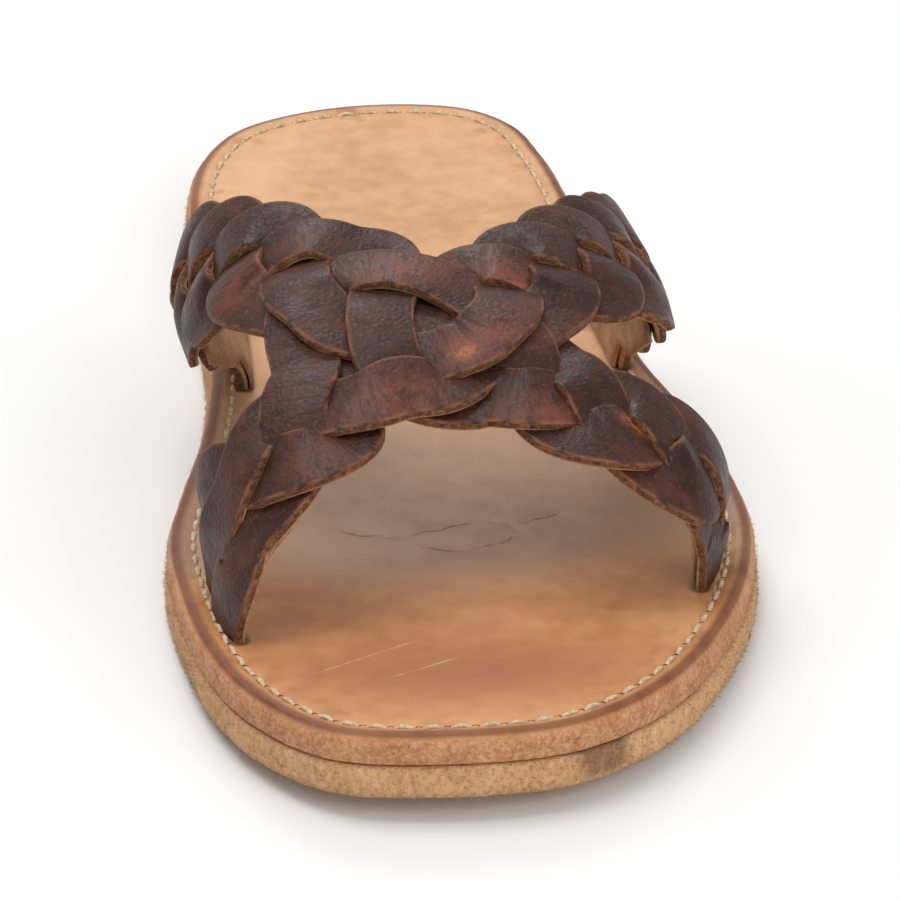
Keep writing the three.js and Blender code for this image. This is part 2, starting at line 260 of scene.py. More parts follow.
# Outsole: a thick layer of natural leather with a rough cut edge
outsoleSizes = {
    # inset and height round the edge, and inset, height and rings of the flat faces
    "profile": [
        (9, 0), (5, 0), (2.6, 0), (1.5, 0.05), (0.75, 0.25), (0.3, 0.6), (0.12, 1.1), (0.05, 1.8),
        (0.02, 2.6), (0, 3.4), (0, 4.2), (0.03, 4.9), (0.1, 5.4), (0.25, 5.8), (0.55, 6.1), (1.1, 6.2),
        (9, 6.2),
    ],
    "under": (9, 0, 22),
    "top": (9, 6.2, 6),
    "edgeFuzz": 0.15,
    # where each mask starts, and over what width it fades
    "lowHeight": (2.4, 2),
    "lowInset": (3, 2),
    "stain": ((16.5, -129.5), (8, 6)),
    "stainFade": (0.2, 0.45),
    "stainHeight": (0.9, 1.2),
}
outsole, verts, insets, heights = soleLayer("outsole_leather", outsoleSizes)
storeValues(outsole, "lowEdge", falling(heights, *outsoleSizes["lowHeight"])
            * falling(insets, *outsoleSizes["lowInset"]))
stainSpot = softSpot(verts[:, :2], *outsoleSizes["stain"])
storeValues(outsole, "stain", rising(stainSpot, *outsoleSizes["stainFade"])
            * rising(heights, *outsoleSizes["stainHeight"]))
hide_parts("outsole")
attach(outsole, "root")
print("outsole", len(outsole.data.polygons))

# Footbed: the tan layer under the foot, with a rounded rim and a sewing groove
footbedSizes = {
    "profile": [
        (9, 6.5), (3, 6.5), (1.2, 6.5), (0.62, 6.56), (0.36, 6.8), (0.3, 7.4), (0.28, 8.2), (0.3, 9.0),
        (0.33, 9.6), (0.42, 10.15), (0.6, 10.65), (0.9, 11.15), (1.3, 11.6), (1.8, 11.92), (2.4, 12.08),
        (3.0, 12.08), (3.5, 11.98), (4.0, 11.8), (4.4, 11.62), (4.8, 11.5), (5.2, 11.5), (5.6, 11.6),
        (6.0, 11.7), (6.6, 11.76), (7.6, 11.76), (9, 11.7),
    ],
    "under": (9, 6.5, 5),
    "top": (9, 11.62, 46),
    "edgeFuzz": 0.05,
    # where each mask starts, and over what width it fades
    "rimFrom": (0.7, 0.7),
    "rimTo": (3.5, 1.1),
    "rimHeight": (9.3, 0.9),
    "cutInset": (1.5, 0.8),
    "cutHeight": (10.8, 0.8),
    "margin": (13, 6),
    "toeWarm": (58, 30),
    "toePatch": ((-3, -112), (31, 15)),
    # darkened print of the foot, with painted shade under the straps: its front edge with a lean and a bow,
    # and its heel end
    "dark": {"front": 79, "lean": 0.1, "bow": 0.004, "bowAt": -4, "fade": 15, "heel": (22, 36)},
    # fine bend creases behind the toes, and light scratches on the toe
    "creases": [[(-11.1, -56.6), (-8.6, -55.8), (-6.2, -54.3), (-3.4, -53.9), (-1.6, -52.4), (1.9, -51.3),
                 (4, -50.1), (6, -50.4), (8.4, -52.2), (9.4, -54.6)],
                [(11.4, -51.8), (13.4, -50.1), (15.2, -49.8), (17.6, -48.2)],
                [(8.2, -58.4), (6.2, -59.9), (3.6, -60.6), (1.2, -62.2), (-2, -62.4), (-4.6, -61.5)],
                [(-19.6, -54.4), (-17.3, -55.6), (-15.2, -55.5)]],
    "creaseWidth": 0.9,
    "creaseDepth": 0.3,
    "creaseFloor": 11,       # only what lies higher is creased
    "scratches": [[(-28.2, -112.5), (-19.2, -105.9), (-10.9, -99.9)],
                  [(-14, -113.5), (-9.1, -110.6), (-4.1, -107)]],
}
footbed, verts, insets, heights = soleLayer("footbed_leather", footbedSizes)
across, forward = verts[:, 0], -verts[:, 1]
footbedSpots = verts[:, :2]
storeValues(footbed, "rim", rising(insets, *footbedSizes["rimFrom"])
            * falling(insets, *footbedSizes["rimTo"]) * rising(heights, *footbedSizes["rimHeight"]))
storeValues(footbed, "cutSide", falling(insets, *footbedSizes["cutInset"])
            * (1 - rising(heights, *footbedSizes["cutHeight"])))
storeValues(footbed, "margin", falling(insets, *footbedSizes["margin"]))
storeValues(footbed, "toeWarm", rising(forward, *footbedSizes["toeWarm"]))
storeValues(footbed, "toePatch", softSpot(footbedSpots, *footbedSizes["toePatch"]))
dark = footbedSizes["dark"]
darkFront = dark["front"] - dark["lean"] * across - dark["bow"] * (across - dark["bowAt"]) ** 2
storeValues(footbed, "footPrintAndShade", falling(forward, darkFront, dark["fade"])
            * (1 - falling(forward, *dark["heel"])))
creaseOff = lineDistance(footbedSpots, footbedSizes["creases"])
storeValues(footbed, "crease", creaseOff)
storeValues(footbed, "scratch", lineDistance(footbedSpots, footbedSizes["scratches"]))
dip = np.exp(-(creaseOff / footbedSizes["creaseWidth"]) ** 2) * (heights > footbedSizes["creaseFloor"])
sunk = verts - np.outer(dip, [0, 0, footbedSizes["creaseDepth"]])
footbed.data.vertices.foreach_set("co", (sunk * mm).ravel())
footbed.data.update()
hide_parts("footbed")
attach(footbed, "root")
print("footbed", len(footbed.data.polygons))

# Last under the straps: instep ridge and the two walls
last = {
    # station, rise over the footbed, place across
    "ridge": [(80, 64, -9), (110, 57.5, -9), (140, 51.5, -8), (170, 45, -7), (200, 37.5, -6), (230, 27, -5),
              (260, 19, -4)],
    # station, reach at the footbed, fullest reach, power of the superellipse
    "medial": [(80, -37, -46, 2.8), (110, -36.8, -46.8, 2.9), (140, -36, -47, 2.9), (170, -38.5, -46.3, 3),
               (200, -41.5, -46, 3.4), (230, -40.3, -40, 2.3), (260, -33, -31.5, 2.2)],
    "lateral": [(80, 26, 31, 2.2), (110, 29.3, 33.5, 2.2), (140, 33.5, 36.2, 2.3), (170, 38, 41.8, 2.5),
                (200, 41.5, 44.5, 2.8), (230, 37.5, 38.5, 2.6), (260, 28, 27, 2.2)],
    "pinch": 0.5,
}


def tableColumn(rows, index, station):
    # one column of a table, run through smoothly by station
    table = np.array(rows, float)
    at, value = table[:, 0], table[:, index]
    i = np.searchsorted(at[1:-1], station)
    before, after = np.maximum(i - 1, 0), np.minimum(i + 2, len(at) - 1)
    gap = at[i + 1] - at[i]
    slopeA = (value[i + 1] - value[before]) / (at[i + 1] - at[before]) * gap
    slopeB = (value[after] - value[i]) / (at[after] - at[i]) * gap
    return hermite((station - at[i]) / gap, value[i], slopeA, value[i + 1], slopeB)


# The last's skin as a grid of girth (from the ridge, + lateral) and station
gridStations = np.arange(80.0, 260.5, 1.0)
girthStep = 0.5
gridGirths = np.arange(-100.0, 100.5, girthStep)
sectionShares = np.linspace(0, 1, 161)
lastGrid = np.zeros((len(gridStations), len(gridGirths), 3))
girthTable = {}
for side, wall in ((-1, "medial"), (1, "lateral")):
    ridge = tableColumn(last["ridge"], 2, gridStations)[:, None]
    rise = tableColumn(last["ridge"], 1, gridStations)[:, None]
    base = np.abs(tableColumn(last[wall], 1, gridStations)[:, None] - ridge)
    full = np.abs(tableColumn(last[wall], 2, gridStations)[:, None] - ridge)
    power = 2 / tableColumn(last[wall], 3, gridStations)[:, None]
    up = np.cos(sectionShares * math.pi / 2).clip(0) ** power
    out = np.sin(sectionShares * math.pi / 2) ** power
    reach = full * out - (full - base) * (1 - smooth(up / last["pinch"]))
    x = ridge + side * reach
    z = sole["footbedTop"] + springLift(gridStations)[:, None] + rise * up
    run = np.concatenate([np.zeros((len(gridStations), 1)),
                          np.cumsum(np.hypot(np.diff(x), np.diff(z)), 1)], 1)
    girthTable[side] = run[:, -1]
    mine = np.where(gridGirths < 0 if side < 0 else gridGirths >= 0)[0]
    for row in range(len(gridStations)):
        girth = np.abs(gridGirths[mine])
        past = np.maximum(0, girth - run[row, -1])
        lastGrid[row, mine, 0] = np.interp(girth, run[row], x[row])
        lastGrid[row, mine, 1] = heelY - gridStations[row]
        lastGrid[row, mine, 2] = np.interp(girth, run[row], z[row]) - past
lastNormal = np.cross(np.gradient(lastGrid, axis=0), np.gradient(lastGrid, axis=1))
lastNormal /= np.linalg.norm(lastNormal, axis=2, keepdims=True)


def gridRead(grid, girth, station):
    u = np.clip(station - gridStations[0], 0, len(gridStations) - 1.001)
    v = np.clip((girth - gridGirths[0]) / girthStep, 0, len(gridGirths) - 1.001)
    i, j = u.astype(int), v.astype(int)
    a, b = (u - i)[..., None], (v - j)[..., None]
    return ((grid[i, j] * (1 - b) + grid[i, j + 1] * b) * (1 - a)
            + (grid[i + 1, j] * (1 - b) + grid[i + 1, j + 1] * b) * a)


def overLast(girth, station, height):
    normal = gridRead(lastNormal, girth, station)
    normal /= np.linalg.norm(normal, axis=-1, keepdims=True)
    return gridRead(lastGrid, girth, station) + normal * np.asarray(height)[..., None]


def halfGirth(side, station):
    return np.interp(station, gridStations, girthTable[side])


# Plait: four straps of three strips, meeting in a crossing over the instep
plait = {
    "stripWidth": 11.4,
    "stripThickness": 1.85,
    "slotDepth": 4.3,
    "squaring": 34.0,        # run over which a strap turns square to its slot
    "axisPoints": (40, 400),     # between two points of a strap's axis, and over the whole axis
    "routePoints": 16,
    "stepAlong": 0.8,
    "columns": 13,
    "leadIn": 0.75,          # pitches from the start of a wave to its first tip
    "wavePoints": 14,
    "stillSoft": 2.5,        # how softly the wave stops, over the run before it
    "stillRun": 20,
    "footTurn": 8.0,
    "laneSine": 0.87,        # a wave's sine on its outer lanes
    "lastPetal": 0.2,        # how far the last petal draws in
    "footSwing": 0.3,        # how much of the foot's widening the wave takes up
    "lineSoft": 10,
    "bendShare": 0.62,       # of the turn's radius that the inner edge may take
    "bendSoft": 20,
    "edgeSoft": 3,
}
# half widths at the crossing and at the slot, pitch and first tip of the leaves, station of the slot,
# flatness of the wave, straight run at the slot, and the middle line as girth and station
straps = {
    "rearMedial": {
        "side": -1, "half": 14.4, "footHalf": 14, "pitch": 15, "firstTip": 23, "foot": 120, "flat": 0.3,
        "footRun": 17,
        "axis": [(-4, 193.5), (-13, 185), (-24, 174.5), (-34, 164), (-44, 152.5), (-56, 137.5), (-68, 126)],
    },
    "rearLateral": {
        "side": 1, "half": 14.4, "footHalf": 14, "pitch": 13, "firstTip": 12.5, "foot": 114, "flat": 0.3,
        "footRun": 17,
        "axis": [(4, 194.5), (12, 189), (23, 179.5), (33, 168.5), (42, 156), (55, 136.5), (68, 121)],
    },
    "frontMedial": {
        "side": -1, "half": 12.8, "footHalf": 18.5, "pitch": 12.8, "firstTip": 20.5, "foot": 219.5,
        "flat": 0.6, "footRun": 16,
        "axis": [(-4, 200), (-12, 209), (-20, 216), (-30, 221.5), (-42, 221.5)],
    },
    "frontLateral": {
        "side": 1, "half": 12.4, "footHalf": 15, "pitch": 13.2, "firstTip": 22.5, "foot": 205, "flat": 0.6,
        "footRun": 17,
        "axis": [(4, 200.5), (12, 206.8), (20, 212.2), (30, 215.8), (42, 215.6), (56, 210.6)],
    },
}
# each strip: strap and leaf at its start and end, and its way through the crossing (girth, station, level)
strips = [
    {"from": ("frontMedial", 1), "to": ("frontLateral", -1),
     "crossing": [(-21.5, 197, -1), (-19.5, 187, -0.9), (-14, 183.5, 0.2), (-6, 183.5, 1), (2, 186.5, 1),
                  (8, 191, 0.3), (12, 196, -1)]},
    {"from": ("frontMedial", 2), "to": ("rearLateral", 0),
     "crossing": [(-14, 221, -1), (-15.5, 214.5, -1), (-14, 208.8, -0.9), (-7, 206.3, -0.8), (1, 206, 1),
                  (7.5, 204.5, 1)]},
    {"from": ("rearMedial", 1), "to": ("frontLateral", 0),
     "crossing": [(-5.5, 175.5, 0.3), (-5.5, 184, -1), (-7.6, 193, 1), (-8, 202, 1), (-7, 207.5, 0.8),
                  (-3.5, 212.5, -1), (4, 214, -0.9)]},
    {"from": ("frontMedial", 0), "to": ("rearLateral", 2),
     "crossing": [(2, 212.5, -0.4), (8.5, 206, -1), (16, 199, -1)]},
    {"from": ("rearMedial", 0), "to": ("rearLateral", 1),
     "crossing": [(-15, 198.5, 0.8), (-8.5, 199.5, -1), (-1, 195.5, 0.4), (3, 188, -1)]},
    {"from": ("rearMedial", 2), "to": ("frontLateral", 1),
     "crossing": [(-22, 190, -1), (-12, 196, -2), (0, 198, -2), (10, 199, -2), (18, 199.5, -1)]},
]
for strap in straps.values():
    foot = (strap["side"] * float(halfGirth(strap["side"], strap["foot"])), strap["foot"])
    between, over = plait["axisPoints"]
    strap["path"] = resample(catmullRom(strap["axis"] + [foot], False, between), over)
    strap["run"] = pathLength(strap["path"])
    strap["total"] = strap["run"][-1]
    strap["heading"] = np.gradient(strap["path"], axis=0)
    strap["heading"] /= np.linalg.norm(strap["heading"], axis=1, keepdims=True)


def strapPoint(strap, along, across):
    at = np.clip(along, 0, strap["total"])
    middle = np.stack([np.interp(at, strap["run"], strap["path"][:, i]) for i in (0, 1)], -1)
    heading = np.stack([np.interp(at, strap["run"], strap["heading"][:, i]) for i in (0, 1)], -1)
    toToe = np.stack([-heading[..., 1], heading[..., 0]], -1)
    toToe *= np.where(toToe[..., 1:] < 0, -1, 1)
    ending = smooth((along - strap["total"] + plait["squaring"]) / plait["squaring"])[..., None]
    toToe = toToe * (1 - ending) + np.array([0.0, 1.0]) * ending
    toToe /= np.linalg.norm(toToe, axis=-1, keepdims=True)
    point = middle + toToe * across[..., None]
    side = strap["side"]
    level = halfGirth(side, point[..., 1]) - halfGirth(side, middle[..., 1])
    point[..., 0] += side * (level * ending[..., 0] + np.maximum(0, along - strap["total"]))
    return point


def plaitRoute(name, leaf):
    # one strip's wave down a strap; near the slot the wave stops and the strip runs straight in
    strap = straps[name]
    pitch, total = strap["pitch"], strap["total"]
    tip = strap["firstTip"] + leaf * pitch / 2
    start = tip - plait["leadIn"] * pitch
    end = total + plait["slotDepth"]
    along = np.linspace(start, end, int((end - start) / (3 * pitch) * plait["wavePoints"]) + 1)
    halfSteps = math.floor((total - strap["footRun"] - strap["firstTip"]) / (pitch / 2))
    still = strap["firstTip"] + halfSteps * pitch / 2
    wave = still - plait["stillSoft"] * np.log1p(np.exp((still - along) / plait["stillSoft"]))
    wave = np.where(along < still - plait["stillRun"], along, wave)
    phase = (0 if leaf % 2 else math.pi) + (wave - tip) * 2 * math.pi / (3 * pitch)
    spread = (strap["footHalf"] - strap["half"]) * smooth(along / total)
    half = strap["half"] + spread
    swing = np.tanh(strap["flat"] * np.sin(phase)) / math.tanh(strap["flat"])
    beside = smooth((along - still) / plait["footTurn"])       # 1 where the three lie side by side
    calm = 1 - plait["lastPetal"] * smooth((along - still + pitch) / pitch)
    reach = strap["half"] + plait["footSwing"] * spread - plait["stripWidth"] / 2
    across = reach * swing * calm * (1 - beside)
    across += np.round(np.sin(phase[-1]) / plait["laneSine"]) * half * 2 / 3 * beside
    width = plait["stripWidth"] / 2 * (1 - beside) + half / 3 * beside
    return np.column_stack([strapPoint(strap, along, across), -np.sin(2 * phase), width])


# Lay each strip out flat over the last: a grid of girth and station along and across it
shares = np.linspace(-1, 1, plait["columns"])
halfWidth = plait["stripWidth"] / 2
for strip in strips:
    crossing = np.column_stack([strip["crossing"], np.full(len(strip["crossing"]), halfWidth)])
    route = np.vstack([plaitRoute(*strip["from"])[::-1], crossing, plaitRoute(*strip["to"])])
    dense = catmullRom(route, False, plait["routePoints"])
    run = pathLength(dense[:, :2])
    count = int(run[-1] / plait["stepAlong"])
    at = np.linspace(0, run[-1], count)
    line = np.stack([np.interp(at, run, dense[:, i]) for i in range(4)], 1)
    step = at[1]
    soften(line[:, :2], plait["lineSoft"])
    heading = np.gradient(line[:, :2], axis=0)
    angle = np.unwrap(np.arctan2(heading[:, 1], heading[:, 0]))
    bend = np.gradient(angle) / step
    soften(bend, plait["bendSoft"])
    across = np.stack([-np.sin(angle), np.cos(angle)], 1)
    inner = plait["bendShare"] / np.maximum(np.abs(bend), 1e-6)
    reach = np.repeat(line[:, 3:], 2, 1)
    reach[:, 0] = np.where(bend < 0, np.minimum(reach[:, 0], inner), reach[:, 0])
    reach[:, 1] = np.where(bend > 0, np.minimum(reach[:, 1], inner), reach[:, 1])
    soften(reach, plait["edgeSoft"])
    offset = np.where(shares < 0, reach[:, :1] * shares, reach[:, 1:] * shares)
    place = line[:, None, :2] + across[:, None] * offset[..., None]
    limit = np.where(place[..., 0] < 0, halfGirth(-1, place[..., 1]), halfGirth(1, place[..., 1]))
    limit += plait["slotDepth"]
    place[..., 0] = np.clip(place[..., 0], -limit, limit)
    strip.update(place=place, level=line[:, 2], line=line[:, :2], at=at, offset=offset / halfWidth)

# Where two middle lines cross, the one at the higher level lies on top
start = np.cumsum([0] + [s["place"].shape[0] * plait["columns"] for s in strips])
places = np.vstack([s["place"].reshape(-1, 2) for s in strips])
alongs = np.concatenate([np.repeat(s["at"], plait["columns"]) for s in strips])
levels = np.concatenate([np.repeat(s["level"], plait["columns"]) for s in strips])
stripOf = np.searchsorted(start, np.arange(start[-1]), side="right") - 1
sampleRows = [np.arange(start[k], start[k + 1]).reshape(-1, plait["columns"])[::2, ::2]
              for k in range(len(strips))]
samples = np.concatenate([rows.ravel() for rows in sampleRows])
contact = {
    "meet": 1.0,             # middle lines nearer than this cross, once in a window of steps
    "window": 12,
    "near": 26.0,            # runs from a crossing within which it rules, and past which it doesn't
    "far": 44.0,
    "sure": 0.2,             # below this the levels decide instead
    "guess": 0.6,
    "doubt": (0.15, 0.7),
    "least": 0.05,
    "touch": 0.62,
    "gap": 0.04,
    # first strip on top of the second where they run side by side, with girth and station
    "beside": [(1, 3, 8, 207), (0, 5, -21, 191)],
    "besideRise": 1.5,
}
finders = []
for k in range(len(strips)):
    finder = kdtree.KDTree(start[k + 1] - start[k])
    for i in range(start[k], start[k + 1]):
        finder.insert((places[i, 0], places[i, 1], 0), i)
    finder.balance()
    finders.append(finder)


def crossings(a, b):
    # the run along each strip where they cross, and the first one's rise over the second
    far = np.linalg.norm(a["line"][:, None] - b["line"][None], axis=2)
    window = contact["window"]
    found = []
    while far.min() < contact["meet"]:
        i, j = np.unravel_index(far.argmin(), far.shape)
        found.append((a["at"][i], b["at"][j], a["level"][i] - b["level"][j]))
        far[max(0, i - window):i + window + 1, max(0, j - window):j + window + 1] = farOff
    return found


def runNear(strip, girth, station):
    return strip["at"][np.linalg.norm(strip["line"] - [girth, station], axis=1).argmin()]


met = {}
for a in range(len(strips)):
    for b in range(len(strips)):
        if a != b:
            met[a, b] = crossings(strips[a], strips[b])
for a, b, girth, station in contact["beside"]:
    u, v = runNear(strips[a], girth, station), runNear(strips[b], girth, station)
    met[a, b].append((u, v, contact["besideRise"]))
    met[b, a].append((v, u, -contact["besideRise"]))


def order(i, j):
    # how far i lies above j, how sure that is, and how far off their crossing is
    meetings = met[stripOf[i], stripOf[j]]
    ways = [(abs(alongs[i] - u) + abs(alongs[j] - v), rise) for u, v, rise in meetings]
    off, rise = min(ways) if ways else (farOff, 0)
    firm = 1 - float(rising(off, contact["near"], contact["far"] - contact["near"]))
    if firm < contact["sure"]:
        rise = levels[i] - levels[j]
        firm = contact["guess"] * float(rising(abs(rise), *contact["doubt"]))
    return rise, firm, off


pairs = []
for i in samples:
    spot = (places[i, 0], places[i, 1], 0)
    around = [finders[k].find(spot) for k in range(len(strips)) if k != stripOf[i]]
    around = [j for _, j, gap in around if gap < contact["touch"]]
    for j in around:
        rise, firm, off = order(i, j)
        for k in around:
            if k != j:
                riseA, _, offA = order(j, k)
                riseB, _, offB = order(k, i)
                if (rise > 0) == (riseA > 0) == (riseB > 0) and off > min(offA, offB):
                    firm = 0        # three strips can't all lie on each other
        if firm > contact["least"]:
            pairs.append((i, j, firm) if rise > 0 else (j, i, firm))
onTop = np.array([p[0] for p in pairs])
below = np.array([p[1] for p in pairs])
firms = np.array([p[2] for p in pairs])
print("plait contacts", len(pairs))

# Draw the plait tight. Each strip is a stiff ribbon, a spline along with a tilt across, pulled down on
# the last and kept off the strips that it crosses. The first rounds take a longer step.
drape = {"knot": 5.0, "bend": 0.5, "twist": 0.6, "twistHold": 0.15, "pull": 0.03, "push": 1.0, "rounds": 24,
         "step": 0.5, "firstRounds": 5, "firstStep": 0.8}
offsets = np.concatenate([s["offset"].ravel() for s in strips])
knotCounts = np.array([int(math.ceil(s["at"][-1] / drape["knot"])) + 3 for s in strips])
knotStart = np.cumsum([0] + list(knotCounts))
knots = knotStart[-1]


def splineTerms(index):
    spot = alongs[index] / drape["knot"]
    cell = np.minimum(spot.astype(int), knotCounts[stripOf[index]] - 4)
    t = spot - cell
    share = np.stack([(1 - t) ** 3, 3 * t ** 3 - 6 * t ** 2 + 4,
                      -3 * t ** 3 + 3 * t ** 2 + 3 * t + 1, t ** 3], 1) / 6
    which = (knotStart[stripOf[index]] + cell)[:, None] + np.arange(4)
    return np.hstack([which, which + knots]), np.hstack([share, share * offsets[index][:, None]])


def addSquares(matrix, which, share):
    cells = which[:, :, None] * 2 * knots + which[:, None, :]
    products = share[:, :, None] * share[:, None, :]
    matrix += np.bincount(cells.ravel(), products.ravel(), (2 * knots) ** 2).reshape(2 * knots, 2 * knots)


def addPulls(vector, which, share, value):
    vector += np.bincount(which.ravel(), (share * np.reshape(value, (-1, 1))).ravel(), 2 * knots)


half = plait["stripThickness"] / 2
restWhich, restShare = splineTerms(samples)
topWhich, topShare = splineTerms(onTop)
lowWhich, lowShare = splineTerms(below)
gapWhich = np.hstack([topWhich, lowWhich])
gapShare = np.hstack([topShare, -lowShare]) * firms[:, None]
gapNeed = (2 * half + contact["gap"]) * firms
restNeed = np.full(len(samples), half)
stiff = np.zeros((2 * knots, 2 * knots))
for k in range(len(strips)):
    second = np.diff(np.eye(knotCounts[k]), 2, axis=0)
    first = np.diff(np.eye(knotCounts[k]), axis=0)
    spanA = slice(knotStart[k], knotStart[k + 1])
    spanB = slice(knots + knotStart[k], knots + knotStart[k + 1])
    stiff[spanA, spanA] += drape["bend"] * second.T @ second
    hold = second.T @ second + drape["twistHold"] * first.T @ first
    stiff[spanB, spanB] += drape["twist"] * hold
addSquares(stiff, restWhich, restShare * drape["pull"] ** 0.5)
settle = np.zeros(2 * knots)
addPulls(settle, restWhich, restShare * drape["pull"], restNeed)
solved = np.zeros(2 * knots)
for k in range(len(strips)):
    spots = (np.arange(knotCounts[k]) - 1) * drape["knot"]
    level = np.interp(spots, strips[k]["at"], strips[k]["level"]).clip(-1)
    solved[knotStart[k]:knotStart[k + 1]] = half * (2 + level)
for turn in range(drape["rounds"]):
    tight = (gapShare * solved[gapWhich]).sum(1) < gapNeed
    low = (restShare * solved[restWhich]).sum(1) < half
    system, wanted = stiff.copy(), settle.copy()
    for which, share, need in ((gapWhich[tight], gapShare[tight], gapNeed[tight]),
                               (restWhich[low], restShare[low], restNeed[low])):
        addSquares(system, which, share * drape["push"] ** 0.5)
        addPulls(wanted, which, share * drape["push"], need)
    stride = drape["firstStep"] if turn < drape["firstRounds"] else drape["step"]
    solved += stride * (np.linalg.solve(system, wanted) - solved)
allWhich, allShare = splineTerms(np.arange(start[-1]))
heights = (allShare * solved[allWhich]).sum(1)
left = np.maximum(gapNeed - (gapShare * solved[gapWhich]).sum(1), 0)
print("plait drawn tight, tallest", round(float(heights.max()), 2),
      "worst overlap", round(float(left.max()), 2), "mean", round(float(left.mean()), 3))

# Strip mesh: a ring of top, cut edge and flesh side at each step
ringTop = [(-1, -0.3), (-0.985, -0.12), (-0.95, -0.03), (-0.85, 0.0), (-0.6, 0.03), (-0.3, 0.05), (0, 0.05),
           (0.3, 0.05), (0.6, 0.03), (0.85, 0.0), (0.95, -0.03), (0.985, -0.12), (1, -0.3)]
ringLow = [(1, 0.2), (0.96, 0.04), (0.6, 0), (0.2, 0), (-0.2, 0), (-0.6, 0), (-0.96, 0.04), (-1, 0.2)]
ring = [(share, 1, drop) for share, drop in ringTop] + [(1.01, 0, 0)]
ring += [(share, -1, lift) for share, lift in ringLow] + [(-1.01, 0, 0)]
# worn places on single strips: strip, girth, station, size along girth and station
redPatches = [(0, -3, 184.5, 9, 6), (3, -6, 216, 8, 6), (1, 9, 204.5, 8, 5), (4, 14, 186, 9, 5),
              (1, -30, 236, 8, 6), (2, 20, 220, 10, 6), (5, -30, 178, 8, 6)]
scuffs = [(4, 18.5, 189.5, 4.2, 1.6), (1, 5.5, 207, 1.9, 1.5), (2, -40, 158, 3, 2), (0, 34, 216, 3, 1.6)]
# main creases, where a strip bunches up on the inner side of a turn: lines of girth and station by strip
strapCreases = {
    0: [[(-14.4, 190.1), (-15.9, 188.8), (-17, 187.2)], [(-13.2, 188.8), (-14.6, 187.1), (-15.4, 185.2)],
        [(-30, 222.8), (-28.9, 224.3), (-27.6, 225.6)], [(-28.2, 222.2), (-25.6, 224.2)],
        [(25.3, 216), (24.6, 217.6), (24.3, 219.4)], [(27, 216.6), (26.8, 219.8)]],
    1: [[(18.7, 177.8), (17.8, 176.3), (16.6, 175.2)], [(20.2, 176.6), (18.6, 173.6)],
        [(4.3, 199.5), (6.2, 202.8)], [(6.4, 199), (7.7, 200.2), (8.6, 201.8)],
        [(-17.9, 219.5), (-15.2, 221)]],
    2: [[(-8.8, 178.2), (-7.4, 176.6), (-5.6, 175.6)], [(-36.2, 166.4), (-37.9, 167.4), (-39.2, 169)],
        [(-35.2, 168), (-37.8, 171.2)], [(32.2, 214.6), (32.7, 211)]],
    3: [[(27.3, 168.8), (26.3, 167.4), (24.8, 166.6)], [(28.4, 167.4), (26.6, 164.4)],
        [(18.6, 187), (22.2, 188.4)], [(-27.1, 217.7), (-28.2, 214.6)]],
    4: [[(-26.3, 167.4), (-25.2, 165.6), (-23.4, 164.3)], [(-25, 168.2), (-23.3, 166.8), (-21.4, 166)],
        [(-27.2, 166.2), (-25.4, 162.6)], [(9.5, 186.4), (7.6, 183.2)], [(11, 185.2), (9.8, 181.9)],
        [(29.1, 179.1), (31.6, 181.6)]],
    5: [[(-36.3, 156.4), (-34.6, 155.2), (-33.4, 153.4)], [(-35, 157.4), (-31.5, 155.2)],
        [(-27, 176.5), (-30.5, 178.6)], [(-26.2, 178.8), (-29.4, 181.2)], [(39, 217.8), (39.7, 221.2)],
        [(41, 217.6), (42, 220.6)]],
}
creaseShape = {"depth": 0.34, "width": 0.75, "ridge": 0.12, "ridgeOff": 1.5}


def troughs(points, lines):
    # soft troughs along the lines, with a low ridge on both sides
    off = np.abs(lineDistance(points, lines))
    ridge = np.exp(-((off - creaseShape["ridgeOff"]) / creaseShape["width"]) ** 2)
    return np.exp(-(off / creaseShape["width"]) ** 2), creaseShape["ridge"] * ridge


def wornSpots(points, patches, strip):
    mine = [softSpot(points, p[1:3], p[3:]) for p in patches if p[0] == strip]
    return sum(mine, np.zeros(len(points)))


